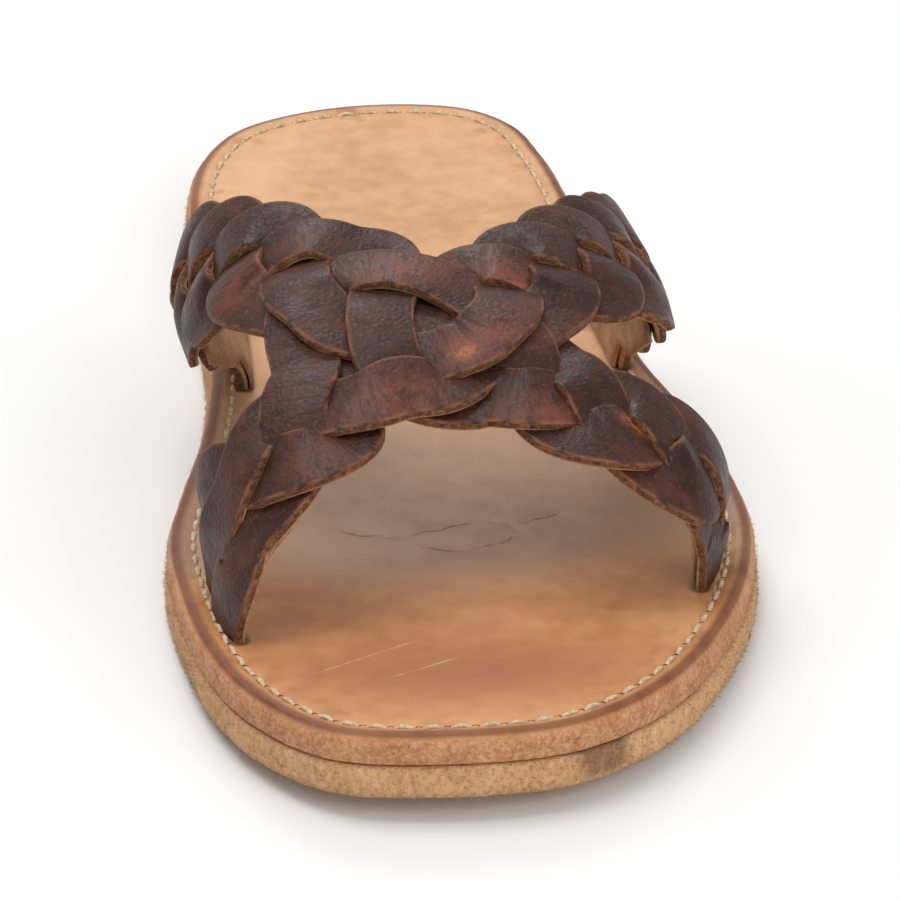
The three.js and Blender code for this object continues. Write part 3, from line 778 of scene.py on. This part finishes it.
# each strip and each band has its own field in the map
stripMap = {"unit": 10, "along": 37, "across": 2.4, "bandAlong": 300, "bandStep": 20, "bandAcross": 0.3}
columns, n = plait["columns"], len(ring)
verts, faces, uvs, cutFace = [], [], [], []
masks = {"edge": [], "flesh": [], "red": [], "scuff": [], "foldShade": []}
for k, strip in enumerate(strips):
    h = heights[start[k]:start[k + 1]].reshape(-1, columns)
    count = len(h)
    first = sum(len(v) for v in verts)
    rows, spots = [], []
    for share, face, shift in ring:
        inside = np.clip(share, -1, 1) * (columns - 1) / 2 + (columns - 1) / 2
        low = int(min(math.floor(inside), columns - 2))
        part = inside - low
        spot = strip["place"][:, low] * (1 - part) + strip["place"][:, low + 1] * part
        spot = spot + (spot - strip["line"]) * max(0, abs(share) - 1)
        middle = h[:, low] * (1 - part) + h[:, low + 1] * part
        dip, ridge = troughs(spot, strapCreases[k])
        relief = (ridge - creaseShape["depth"] * dip) if face > 0 else 0
        rows.append(overLast(spot[:, 0], spot[:, 1], middle + face * half + shift + relief))
        spots.append(spot)
    verts.append(np.stack(rows, 1).reshape(-1, 3))
    faces += tubeFaces(first, count, n) + tubeEnds(first, count, n)
    cutFace += [0 if j < len(ringTop) - 1 else 1 for j in range(n)] * (count - 1) + [1, 1]
    along = np.repeat(strip["at"][:, None], n, 1) / stripMap["unit"] + stripMap["along"] * k
    width = np.array([c[0] for c in ring]) * plait["stripWidth"] / (2 * stripMap["unit"])
    width = np.tile(width + stripMap["across"] * k, (count, 1))
    uvs.append(np.stack([along, width], -1).reshape(-1, 2))
    spots = np.stack(spots, 1).reshape(-1, 2)
    masks["edge"].append(np.tile([abs(c[0]) for c in ring], count))
    masks["flesh"].append(np.tile([1.0 if c[1] < 0 else 0.0 for c in ring], count))
    masks["red"].append(wornSpots(spots, redPatches, k))
    masks["scuff"].append(wornSpots(spots, scuffs, k))
    masks["foldShade"].append(troughs(spots, strapCreases[k])[0])

# a suede band backs each strap where it goes down into its slot: length and inset, rear and front
backing = {"rear": (46.0, 0.2), "front": (27.0, 5.0), "thickness": 0.8, "under": 0.06, "steps": 30,
           "columns": 11, "masks": {"edge": 1.0, "flesh": 1.0, "red": 0.0, "scuff": 0.0, "foldShade": 0.0}}
for k, (name, strap) in enumerate(straps.items()):
    length, inset = backing["rear" if name.startswith("rear") else "front"]
    along = np.linspace(strap["total"] - length, strap["total"] + plait["slotDepth"], backing["steps"])
    reach = strap["half"] + (strap["footHalf"] - strap["half"]) * smooth(along / strap["total"]) - inset
    lanes = [strapPoint(strap, along, reach * share) for share in np.linspace(-1, 1, backing["columns"])]
    layers = []
    for height in (-backing["under"], -backing["under"] - backing["thickness"]):
        layers.append(np.stack([overLast(p[:, 0], p[:, 1], np.full(len(p), height)) for p in lanes], 1))
    loop = np.concatenate([layers[0], layers[1][:, ::-1]], 1)
    rows, n = loop.shape[:2]
    first = sum(len(v) for v in verts)
    verts.append(loop.reshape(-1, 3))
    band = tubeFaces(first, rows, n) + tubeEnds(first, rows, n)
    faces += [tuple(reversed(f)) for f in band] if strap["side"] < 0 else band
    cutFace += [1] * len(band)
    along = np.repeat(along[:, None], n, 1) / stripMap["unit"]
    along = along + stripMap["bandAlong"] + stripMap["bandStep"] * k
    width = np.repeat(np.arange(n)[None] * stripMap["bandAcross"], rows, 0)
    uvs.append(np.stack([along, width], -1).reshape(-1, 2))
    for mask, value in backing["masks"].items():
        masks[mask].append(np.full(rows * n, value))
upper = meshObject("plaited_upper", np.vstack(verts), faces)
storeUv(upper, np.vstack(uvs))
for name, values in masks.items():
    storeValues(upper, name, np.concatenate(values))
upper.data.polygons.foreach_set("material_index", cutFace)
# painted shade: dark lines on the footbed where the straps go in, standing for the shade in each slot's gap
slotShadeLine = {"points": 9, "height": 0.9}
slotLines = []
for strap in straps.values():
    across = np.linspace(-1, 1, slotShadeLine["points"]) * strap["footHalf"]
    line = strapPoint(strap, np.full(len(across), strap["total"]), across)
    slotLines.append(overLast(line[:, 0], line[:, 1], np.full(len(across), slotShadeLine["height"]))[:, :2])
storeValues(footbed, "slot", np.abs(lineDistance(footbedSpots, slotLines)))
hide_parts("upper")
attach(upper, "root")
print("upper", len(upper.data.polygons))


# Materials
def newMaterial(name):
    material = bpy.data.materials.new(name)
    material.use_nodes = True
    return material, material.node_tree, material.node_tree.nodes["Principled BSDF"]


def addNode(tree, kind, settings, inputs):
    node = tree.nodes.new("ShaderNode" + kind)
    for key, value in settings.items():
        setattr(node, key, value)
    for key, value in inputs.items():
        if isinstance(value, bpy.types.NodeSocket):
            tree.links.new(value, node.inputs[key])
        else:
            node.inputs[key].default_value = value
    return node


def objectPlace(tree):
    return addNode(tree, "TexCoord", {}, {}).outputs["Object"]


def stripPlace(tree, stretch):
    uv = addNode(tree, "UVMap", {"uv_map": "strip"}, {}).outputs["UV"]
    return addNode(tree, "Mapping", {}, {"Vector": uv, "Scale": stretch}).outputs["Vector"]


def noise(tree, place, scale, detail=3.0, rough=0.55):
    return addNode(tree, "TexNoise", {}, {"Vector": place, "Scale": scale, "Detail": detail,
                                          "Roughness": rough}).outputs["Fac"]


def cells(tree, place, scale):
    return addNode(tree, "TexVoronoi", {}, {"Vector": place, "Scale": scale}).outputs["Distance"]


def stored(tree, name):
    return addNode(tree, "Attribute", {"attribute_name": name}, {}).outputs["Fac"]


def math2(tree, operation, a, b):
    return addNode(tree, "Math", {"operation": operation}, {0: a, 1: b}).outputs[0]


def times(tree, a, b):
    return math2(tree, "MULTIPLY", a, b)


def weigh(tree, a, b, share):
    return math2(tree, "ADD", times(tree, a, share), times(tree, b, 1 - share))


def span(tree, value, low, high, toLow=0.0, toHigh=1.0):
    ends = {"Value": value, "From Min": low, "From Max": high, "To Min": toLow, "To Max": toHigh}
    return addNode(tree, "MapRange", {"interpolation_type": "SMOOTHSTEP"}, ends).outputs["Result"]


def ramp(tree, value, stops):
    node = addNode(tree, "ValToRGB", {}, {"Fac": value})
    while len(node.color_ramp.elements) < len(stops):
        node.color_ramp.elements.new(0.5)
    for element, (at, colour) in zip(node.color_ramp.elements, stops):
        element.position = at
        element.color = (*colour, 1)
    return node.outputs["Color"]


def blend(tree, factor, a, b):
    values = [v if isinstance(v, bpy.types.NodeSocket) else (*v, 1) for v in (a, b)]
    return addNode(tree, "Mix", {"data_type": "RGBA"}, {0: factor, 6: values[0], 7: values[1]}).outputs[2]


def tint(tree, colour, mask, strength, target):
    return blend(tree, times(tree, mask, strength), colour, target)


def thinLine(tree, name, low, high):
    # 1 on the stored lines, 0 beside them
    off = addNode(tree, "Math", {"operation": "ABSOLUTE"}, {0: stored(tree, name)}).outputs[0]
    return span(tree, off, low, high, 1, 0)


def bump(tree, height, strength, distance, under=None):
    inputs = {"Height": height, "Strength": strength, "Distance": distance}
    if under:
        inputs["Normal"] = under
    return addNode(tree, "Bump", {}, inputs).outputs["Normal"]


def dress(tree, shader, colour, roughness, normal):
    for socket, value in (("Base Color", colour), ("Roughness", roughness), ("Normal", normal)):
        tree.links.new(value, shader.inputs[socket])


def finish(shader, values):
    for socket, value in values.items():
        shader.inputs[socket].default_value = value


# waxed strap leather, grain side
strapLeather, tree, shader = newMaterial("strapLeather")
place = objectPlace(tree)
patches = noise(tree, place, 55, 4)
mottle = noise(tree, place, 330, 4)
grain = cells(tree, place, 1150)
lines = noise(tree, stripPlace(tree, (13, 2.2, 1)), 1.0, 5, 0.62)
colour = ramp(tree, weigh(tree, patches, mottle, 0.6), [
    (0.34, (0.02, 0.0066, 0.0046)), (0.5, (0.046, 0.0148, 0.0095)), (0.66, (0.096, 0.03, 0.017))])
red = times(tree, stored(tree, "red"), span(tree, mottle, 0.3, 0.62, 0.35, 1))
colour = tint(tree, colour, red, 0.75, (0.19, 0.055, 0.03))
flecks = span(tree, noise(tree, place, 1300, 2), 0.6, 0.74)
colour = tint(tree, colour, flecks, 0.3, (0.22, 0.12, 0.085))
worn = times(tree, span(tree, stored(tree, "edge"), 0.86, 1.0), span(tree, mottle, 0.32, 0.6))
colour = tint(tree, colour, worn, 0.8, (0.25, 0.1, 0.05))
scuff = times(tree, stored(tree, "scuff"), span(tree, noise(tree, place, 700, 4), 0.36, 0.56))
colour = blend(tree, math2(tree, "MINIMUM", scuff, 0.75), colour, (0.42, 0.13, 0.05))
# painted shade in the troughs of the fine wrinkles
colour = blend(tree, span(tree, lines, 0.31, 0.42, 0.4, 0), colour, (0.02, 0.008, 0.006))
# painted shade in the troughs of the main creases
colour = tint(tree, colour, stored(tree, "foldShade"), 0.55, (0.012, 0.005, 0.004))
roughness = math2(tree, "ADD", span(tree, mottle, 0.3, 0.7, 0.38, 0.56), times(tree, worn, 0.2))
wrinkles = span(tree, lines, 0.36, 0.47)
normal = bump(tree, wrinkles, 0.4, 0.0003, bump(tree, grain, 0.4, 0.0003))
normal = bump(tree, patches, 0.15, 0.003, normal)
dress(tree, shader, colour, roughness, normal)
finish(shader, {"Specular IOR Level": 0.2, "Coat Weight": 0.07, "Coat Roughness": 0.24})

# cut edges and flesh side of the strips
cutLeather, tree, shader = newMaterial("cutLeather")
place = objectPlace(tree)
fibre = noise(tree, place, 900, 5, 0.7)
soft = noise(tree, place, 160, 3)
cut = ramp(tree, fibre, [
    (0.32, (0.05, 0.018, 0.011)), (0.5, (0.145, 0.057, 0.026)), (0.68, (0.3, 0.142, 0.066))])
suede = ramp(tree, weigh(tree, fibre, soft, 0.5), [
    (0.36, (0.27, 0.145, 0.075)), (0.5, (0.42, 0.25, 0.135)), (0.66, (0.55, 0.36, 0.21))])
colour = blend(tree, span(tree, stored(tree, "flesh"), 0.3, 0.9), cut, suede)
roughness = span(tree, soft, 0.3, 0.7, 0.82, 0.95)
dress(tree, shader, colour, roughness, bump(tree, fibre, 0.6, 0.0006))
finish(shader, {"Specular IOR Level": 0.25})

# tan footbed leather
footbedLeather, tree, shader = newMaterial("footbedLeather")
place = objectPlace(tree)
clouds = noise(tree, place, 26, 4)
mottle = noise(tree, place, 210, 4)
pores = cells(tree, place, 900)
fine = noise(tree, place, 1700, 3)
tone = weigh(tree, clouds, mottle, 0.55)
heel = ramp(tree, tone, [
    (0.36, (0.50, 0.255, 0.115)), (0.5, (0.60, 0.325, 0.16)), (0.64, (0.67, 0.385, 0.205))])
toe = ramp(tree, tone, [
    (0.36, (0.44, 0.175, 0.056)), (0.5, (0.55, 0.24, 0.085)), (0.64, (0.62, 0.305, 0.125))])
colour = blend(tree, stored(tree, "toeWarm"), heel, toe)
patch = times(tree, stored(tree, "toePatch"), span(tree, clouds, 0.3, 0.7, 0.55, 1))
colour = tint(tree, colour, patch, 0.95, (0.36, 0.13, 0.062))
# painted shade under the straps, together with the darker print of the foot
dark = times(tree, stored(tree, "footPrintAndShade"), span(tree, tone, 0.3, 0.7, 0.7, 0.98))
colour = blend(tree, dark, colour, (0.35, 0.215, 0.145))
stainSpots = times(tree, span(tree, noise(tree, place, 120, 4), 0.56, 0.7), stored(tree, "margin"))
colour = tint(tree, colour, stainSpots, 0.55, (0.3, 0.12, 0.055))
scratch = times(tree, thinLine(tree, "scratch", 0.06, 0.28), span(tree, mottle, 0.35, 0.6, 0.15, 0.65))
colour = blend(tree, scratch, colour, (0.74, 0.47, 0.27))
# painted shade along the fine bend creases
crease = times(tree, thinLine(tree, "crease", 0.05, 0.32), span(tree, mottle, 0.38, 0.58, 0.1, 1))
colour = tint(tree, colour, crease, 0.5, (0.07, 0.038, 0.03))
speckle = weigh(tree, noise(tree, place, 1200, 4, 0.7), mottle, 0.7)
side = ramp(tree, speckle, [
    (0.36, (0.34, 0.14, 0.06)), (0.5, (0.52, 0.24, 0.112)), (0.64, (0.68, 0.37, 0.195))])
cutSide = stored(tree, "cutSide")
colour = blend(tree, cutSide, colour, side)
burnish = times(tree, stored(tree, "rim"), span(tree, tone, 0.34, 0.62, 1, 0.8))
colour = blend(tree, burnish, colour, (0.15, 0.038, 0.013))
# painted shade along the slots where the straps go into the footbed
slot = span(tree, stored(tree, "slot"), 1.2, 2.6, 0.85, 0)
colour = blend(tree, slot, colour, (0.07, 0.03, 0.02))
roughness = math2(tree, "ADD", span(tree, tone, 0.35, 0.65, 0.44, 0.6), times(tree, cutSide, 0.25))
normal = bump(tree, pores, 0.12, 0.0003, bump(tree, fine, 0.18, 0.0002))
normal = bump(tree, mottle, 0.2, 0.0012, normal)
normal = bump(tree, math2(tree, "SUBTRACT", 1.0, crease), 0.6, 0.0004, normal)
normal = bump(tree, times(tree, speckle, cutSide), 0.7, 0.0012, normal)
dress(tree, shader, colour, roughness, normal)
finish(shader, {"Specular IOR Level": 0.3, "Coat Weight": 0.03, "Coat Roughness": 0.35})

# natural sole leather with a fibrous cut edge
soleLeather, tree, shader = newMaterial("soleLeather")
place = objectPlace(tree)
layers = addNode(tree, "Mapping", {}, {"Vector": place, "Scale": (1, 1, 0.5)}).outputs["Vector"]
fibre = noise(tree, layers, 900, 5, 0.68)
mottle = noise(tree, place, 120, 4)
nap = noise(tree, place, 1500, 4, 0.7)
colour = ramp(tree, weigh(tree, fibre, mottle, 0.7), [
    (0.34, (0.51, 0.26, 0.115)), (0.5, (0.7, 0.395, 0.193)), (0.66, (0.8, 0.5, 0.275))])
low = times(tree, stored(tree, "lowEdge"), span(tree, nap, 0.36, 0.6, 0.25, 0.9))
colour = tint(tree, colour, low, 0.6, (0.33, 0.2, 0.12))
stain = times(tree, stored(tree, "stain"), span(tree, noise(tree, place, 260, 4), 0.3, 0.6, 0.5, 1))
stain = math2(tree, "MINIMUM", times(tree, stain, 1.2), 0.78)
colour = blend(tree, stain, colour, (0.2, 0.1, 0.056))
normal = bump(tree, nap, 0.7, 0.0007, bump(tree, fibre, 0.6, 0.0014))
roughness = span(tree, mottle, 0.3, 0.7, 0.74, 0.9)
dress(tree, shader, colour, roughness, normal)
finish(shader, {"Specular IOR Level": 0.3})

upper.data.materials.append(strapLeather)
upper.data.materials.append(cutLeather)
footbed.data.materials.append(footbedLeather)
outsole.data.materials.append(soleLeather)
print("materials", len(bpy.data.materials))

# waxed thread and the dark holes that it goes through
threadCotton, tree, shader = newMaterial("threadCotton")
place = objectPlace(tree)
twist = noise(tree, place, 1600, 3)
colour = ramp(tree, twist, [
    (0.35, (0.4, 0.27, 0.15)), (0.5, (0.57, 0.43, 0.275)), (0.65, (0.7, 0.57, 0.4))])
dress(tree, shader, colour, span(tree, twist, 0.3, 0.7, 0.62, 0.8), bump(tree, twist, 0.6, 0.0003))
holeShade, tree, shader = newMaterial("holeShade")
depth = noise(tree, objectPlace(tree), 2200, 2)
colour = ramp(tree, depth, [(0.35, (0.03, 0.014, 0.009)), (0.65, (0.1, 0.045, 0.025))])
dress(tree, shader, colour, span(tree, depth, 0.3, 0.7, 0.8, 0.95), bump(tree, depth, 0.4, 0.0003))

# Stitches, the holes between them, and loose fibres of the cut edge, laid along rows round the sole.
# A row has an inset and a height, and the phase is a share of the pitch.
stitches = {
    "rows": [(5.0, 11.62)], "pitch": 4.7, "phase": 0.0, "rowShift": 0.0, "sway": 0.09, "seed": 4,
    "length": 3.7, "radius": 0.5, "ends": 0.55, "knobs": (0.1, 19), "flatten": 0.8, "bow": 0.44,
    "sink": 0.62,
}
holes = {
    "rows": [(5.0, 11.55)], "pitch": 4.7, "phase": 0.5, "rowShift": 0.0, "sway": 0.09, "seed": 4,
    "points": 12, "mouth": (0.75, 0.5, 0.02), "floor": (0.4, 0.26, -0.1), "under": (0.75, 0.5, -0.35),
}
fibres = {
    "rows": [(0.3, 0.45), (0.1, 1.2), (0.04, 2.2), (0.02, 3.3), (0.02, 4.4), (0.2, 5.5), (0.3, 7.2),
             (0.3, 8.4)],
    "pitch": 2.1, "phase": 0.0, "rowShift": 0.37, "sway": 0.6, "seed": 4,
    "clump": 5, "clumpSeed": 7, "spread": (1.05, 0.5), "foot": 0.2, "radius": 0.075,
    "length": (0.3, 0.85), "lean": 0.9, "out": (0.4, 1), "rise": (-0.7, 0.5),
}


def stitchMesh():
    # one bowed stitch, both ends down in the leather
    rings, around = 9, 8
    knob, knobTurns = stitches["knobs"]
    points = []
    for i in range(rings):
        t = i / (rings - 1)
        arch = math.sin(math.pi * t)
        wide = stitches["radius"] * (stitches["ends"] + (1 - stitches["ends"]) * arch)
        wide *= 1 + knob * math.sin(t * knobTurns)
        for j in range(around):
            turn = 2 * math.pi * j / around
            up = math.sin(turn) * wide * stitches["flatten"] + stitches["bow"] * (arch - stitches["sink"])
            points.append(((t - 0.5) * stitches["length"], math.cos(turn) * wide, up))
    skin = tubeFaces(0, rings, around) + tubeEnds(0, rings, around)
    return meshObject("stitch_seed", points, [tuple(reversed(f)) for f in skin])


def holeMesh():
    # a dished oval with a closed underside
    count = holes["points"]
    points = []
    for long, wide, up in (holes["under"], holes["mouth"], holes["floor"]):
        for turn in np.linspace(0, 2 * math.pi, count + 1)[:-1]:
            points.append((long * math.cos(turn), wide * math.sin(turn), up))
    return meshObject("hole_seed", points, tubeFaces(0, 3, count) + tubeEnds(0, 3, count))


def fibreMesh():
    # a clump of tapered fibres, their feet in the leather and their tips out at -Y
    draw = np.random.default_rng(fibres["clumpSeed"])
    along, up = fibres["spread"]
    points, skin = [], []
    for _ in range(fibres["clump"]):
        foot = np.array([draw.uniform(-along, along), fibres["foot"], draw.uniform(-up, up)])
        reach = draw.uniform(*fibres["length"])
        lean = reach * draw.uniform(-fibres["lean"], fibres["lean"])
        out = fibres["foot"] + reach * draw.uniform(*fibres["out"])
        rise = reach * draw.uniform(*fibres["rise"])
        a, b, c, d = range(len(points), len(points) + 4)
        for turn in (0, 2 * math.pi / 3, 4 * math.pi / 3):
            around = np.array([math.cos(turn), 0, math.sin(turn)])
            points.append(tuple(foot + fibres["radius"] * around))
        points.append(tuple(foot + [lean, -out, rise]))
        skin += [(a, b, d), (b, c, d), (c, a, d), (c, b, a)]
    return meshObject("fibre_seed", points, skin)


def layTree(name, material):
    # a closed path in, one copy of the seed piece at each pitch along it out
    tree = bpy.data.node_groups.new(name, "GeometryNodeTree")
    tree.interface.new_socket("Geometry", in_out="INPUT", socket_type="NodeSocketGeometry")
    tree.interface.new_socket("Seed Piece", in_out="INPUT", socket_type="NodeSocketObject")
    for label in ("Count", "Seed"):
        tree.interface.new_socket(label, in_out="INPUT", socket_type="NodeSocketInt")
    tree.interface.new_socket("Sway", in_out="INPUT", socket_type="NodeSocketFloat")
    tree.interface.new_socket("Geometry", in_out="OUTPUT", socket_type="NodeSocketGeometry")
    kinds = {"entry": "NodeGroupInput", "leave": "NodeGroupOutput", "path": "GeometryNodeMeshToCurve",
             "spread": "GeometryNodeResampleCurve", "put": "GeometryNodeInstanceOnPoints",
             "piece": "GeometryNodeObjectInfo", "real": "GeometryNodeRealizeInstances",
             "cover": "GeometryNodeSetMaterial", "along": "GeometryNodeInputTangent",
             "face": "FunctionNodeAlignRotationToVector", "sway": "FunctionNodeRandomValue",
             "turn": "ShaderNodeCombineXYZ", "swing": "FunctionNodeRotateRotation",
             "euler": "FunctionNodeEulerToRotation", "minus": "ShaderNodeMath"}
    n = {key: tree.nodes.new(kind) for key, kind in kinds.items()}
    n["face"].axis = "X"
    n["face"].pivot_axis = "Z"
    n["swing"].rotation_space = "LOCAL"
    n["minus"].operation = "MULTIPLY"
    n["minus"].inputs[1].default_value = -1
    n["cover"].inputs["Material"].default_value = material
    links = [
        ("entry", "Geometry", "path", "Mesh"), ("path", "Curve", "spread", "Curve"),
        ("entry", "Count", "spread", "Count"), ("spread", "Curve", "put", "Points"),
        ("entry", "Seed Piece", "piece", "Object"), ("piece", "Geometry", "put", "Instance"),
        ("along", "Tangent", "face", "Vector"), ("face", "Rotation", "swing", "Rotation"),
        ("entry", "Sway", "minus", 0), ("minus", 0, "sway", 2), ("entry", "Sway", "sway", 3),
        ("entry", "Seed", "sway", "Seed"), ("sway", 1, "turn", "Z"), ("turn", "Vector", "euler", "Euler"),
        ("euler", "Rotation", "swing", "Rotate By"), ("swing", "Rotation", "put", "Rotation"),
        ("put", "Instances", "real", "Geometry"), ("real", "Geometry", "cover", "Geometry"),
        ("cover", "Geometry", "leave", "Geometry"),
    ]
    for a, out, b, into in links:
        tree.links.new(n[a].outputs[out], n[b].inputs[into])
    return tree


def seamLoop(inset, height, pitch, phase):
    # a path round the sole, turned on by a share of one pitch, and how many copies it takes
    path = soleRing(inset, height)
    closed = np.vstack([path, path[:1]])
    run = pathLength(closed)
    count = int(run[-1] / pitch)
    at = np.linspace(0, run[-1], sole["seamPoints"] + 1)[:-1] + phase * run[-1] / count
    return np.stack([np.interp(at % run[-1], run, closed[:, i]) for i in range(3)], 1), count


def layRound(name, seed, material, sizes):
    # copies of the seed piece all along the rows
    loops = [seamLoop(inset, height, sizes["pitch"], sizes["phase"] + k * sizes["rowShift"])
             for k, (inset, height) in enumerate(sizes["rows"])]
    count, size = loops[0][1], len(loops[0][0])
    links = [(k * size + i, k * size + (i + 1) % size) for k in range(len(loops)) for i in range(size)]
    mesh = bpy.data.meshes.new(name + "_path")
    mesh.from_pydata((np.vstack([line for line, _ in loops]) * mm).tolist(), links, [])
    carrier = bpy.data.objects.new(name + "_path", mesh)
    bpy.context.scene.collection.objects.link(carrier)
    modifier = carrier.modifiers.new("sewing", "NODES")
    tree = layTree(name + "_tree", material)
    sockets = {s.name: s.identifier for s in tree.interface.items_tree if s.in_out == "INPUT"}
    modifier.node_group = tree
    modifier[sockets["Seed Piece"]] = seed
    modifier[sockets["Count"]] = count
    modifier[sockets["Seed"]] = sizes["seed"]
    modifier[sockets["Sway"]] = sizes["sway"]
    bpy.context.view_layer.update()
    done = bpy.data.meshes.new_from_object(carrier.evaluated_get(bpy.context.evaluated_depsgraph_get()))
    done.name = name
    carrier.modifiers.remove(modifier)
    bpy.data.objects.remove(carrier)
    bpy.data.objects.remove(seed)
    piece = bpy.data.objects.new(name, done)
    bpy.context.scene.collection.objects.link(piece)
    done.polygons.foreach_set("use_smooth", [True] * len(done.polygons))
    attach(piece, "root")
    print(name, count * len(loops), "places", len(done.polygons), "faces")


layRound("footbed_stitches", stitchMesh(), threadCotton, stitches)
layRound("stitch_holes", holeMesh(), holeShade, holes)
layRound("sole_fibres", fibreMesh(), soleLeather, fibres)

# Floor, light and camera
studio = {"floor": 3000, "world": 0.54}
corners = [(x * studio["floor"], y * studio["floor"], 0) for x, y in ((-1, -1), (1, -1), (1, 1), (-1, 1))]
floor = meshObject("floor", corners, [(0, 1, 2, 3)])
paleFloor, tree, shader = newMaterial("paleFloor")
haze = noise(tree, objectPlace(tree), 3, 2)
colour = ramp(tree, haze, [(0.3, (0.81, 0.81, 0.808)), (0.7, (0.83, 0.83, 0.83))])
dress(tree, shader, colour, span(tree, haze, 0.3, 0.7, 0.6, 0.7), bump(tree, haze, 0.02, 0.001))
floor.data.materials.append(paleFloor)

world = bpy.context.scene.world or bpy.data.worlds.new("studio")
bpy.context.scene.world = world
world.use_nodes = True
world.node_tree.nodes["Background"].inputs["Color"].default_value = (1, 1, 1, 1)
world.node_tree.nodes["Background"].inputs["Strength"].default_value = studio["world"]


def softLight(name, place, aim, size, power):
    data = bpy.data.lights.new(name, "AREA")
    data.size = size
    data.energy = power
    lamp = bpy.data.objects.new(name, data)
    lamp.location = place
    lamp.rotation_euler = (Vector(aim) - Vector(place)).to_track_quat("-Z", "Y").to_euler()
    bpy.context.scene.collection.objects.link(lamp)


softLight("keyLight", (-0.35, 0.05, 1.3), (0, 0, 0.02), 0.8, 8.5)
softLight("fillLight", (0.55, -1.0, 0.6), (0, 0, 0.02), 0.9, 6.2)
softLight("backLight", (-0.15, 0.9, 0.9), (0, 0, 0.03), 0.5, 4)

bpy.context.scene.view_settings.view_transform = "Standard"
shot = {"place": (-0.0519, -1.1765, 0.5653), "aim": (0.0, -0.012, 0.007), "lens": 285}
cameraData = bpy.data.cameras.new("camera")
cameraData.lens = shot["lens"]
cameraData.sensor_width = 36
camera = bpy.data.objects.new("camera", cameraData)
camera.location = shot["place"]
camera.rotation_euler = (Vector(shot["aim"]) - Vector(shot["place"])).to_track_quat("-Z", "Y").to_euler()
bpy.context.scene.collection.objects.link(camera)
bpy.context.scene.camera = camera
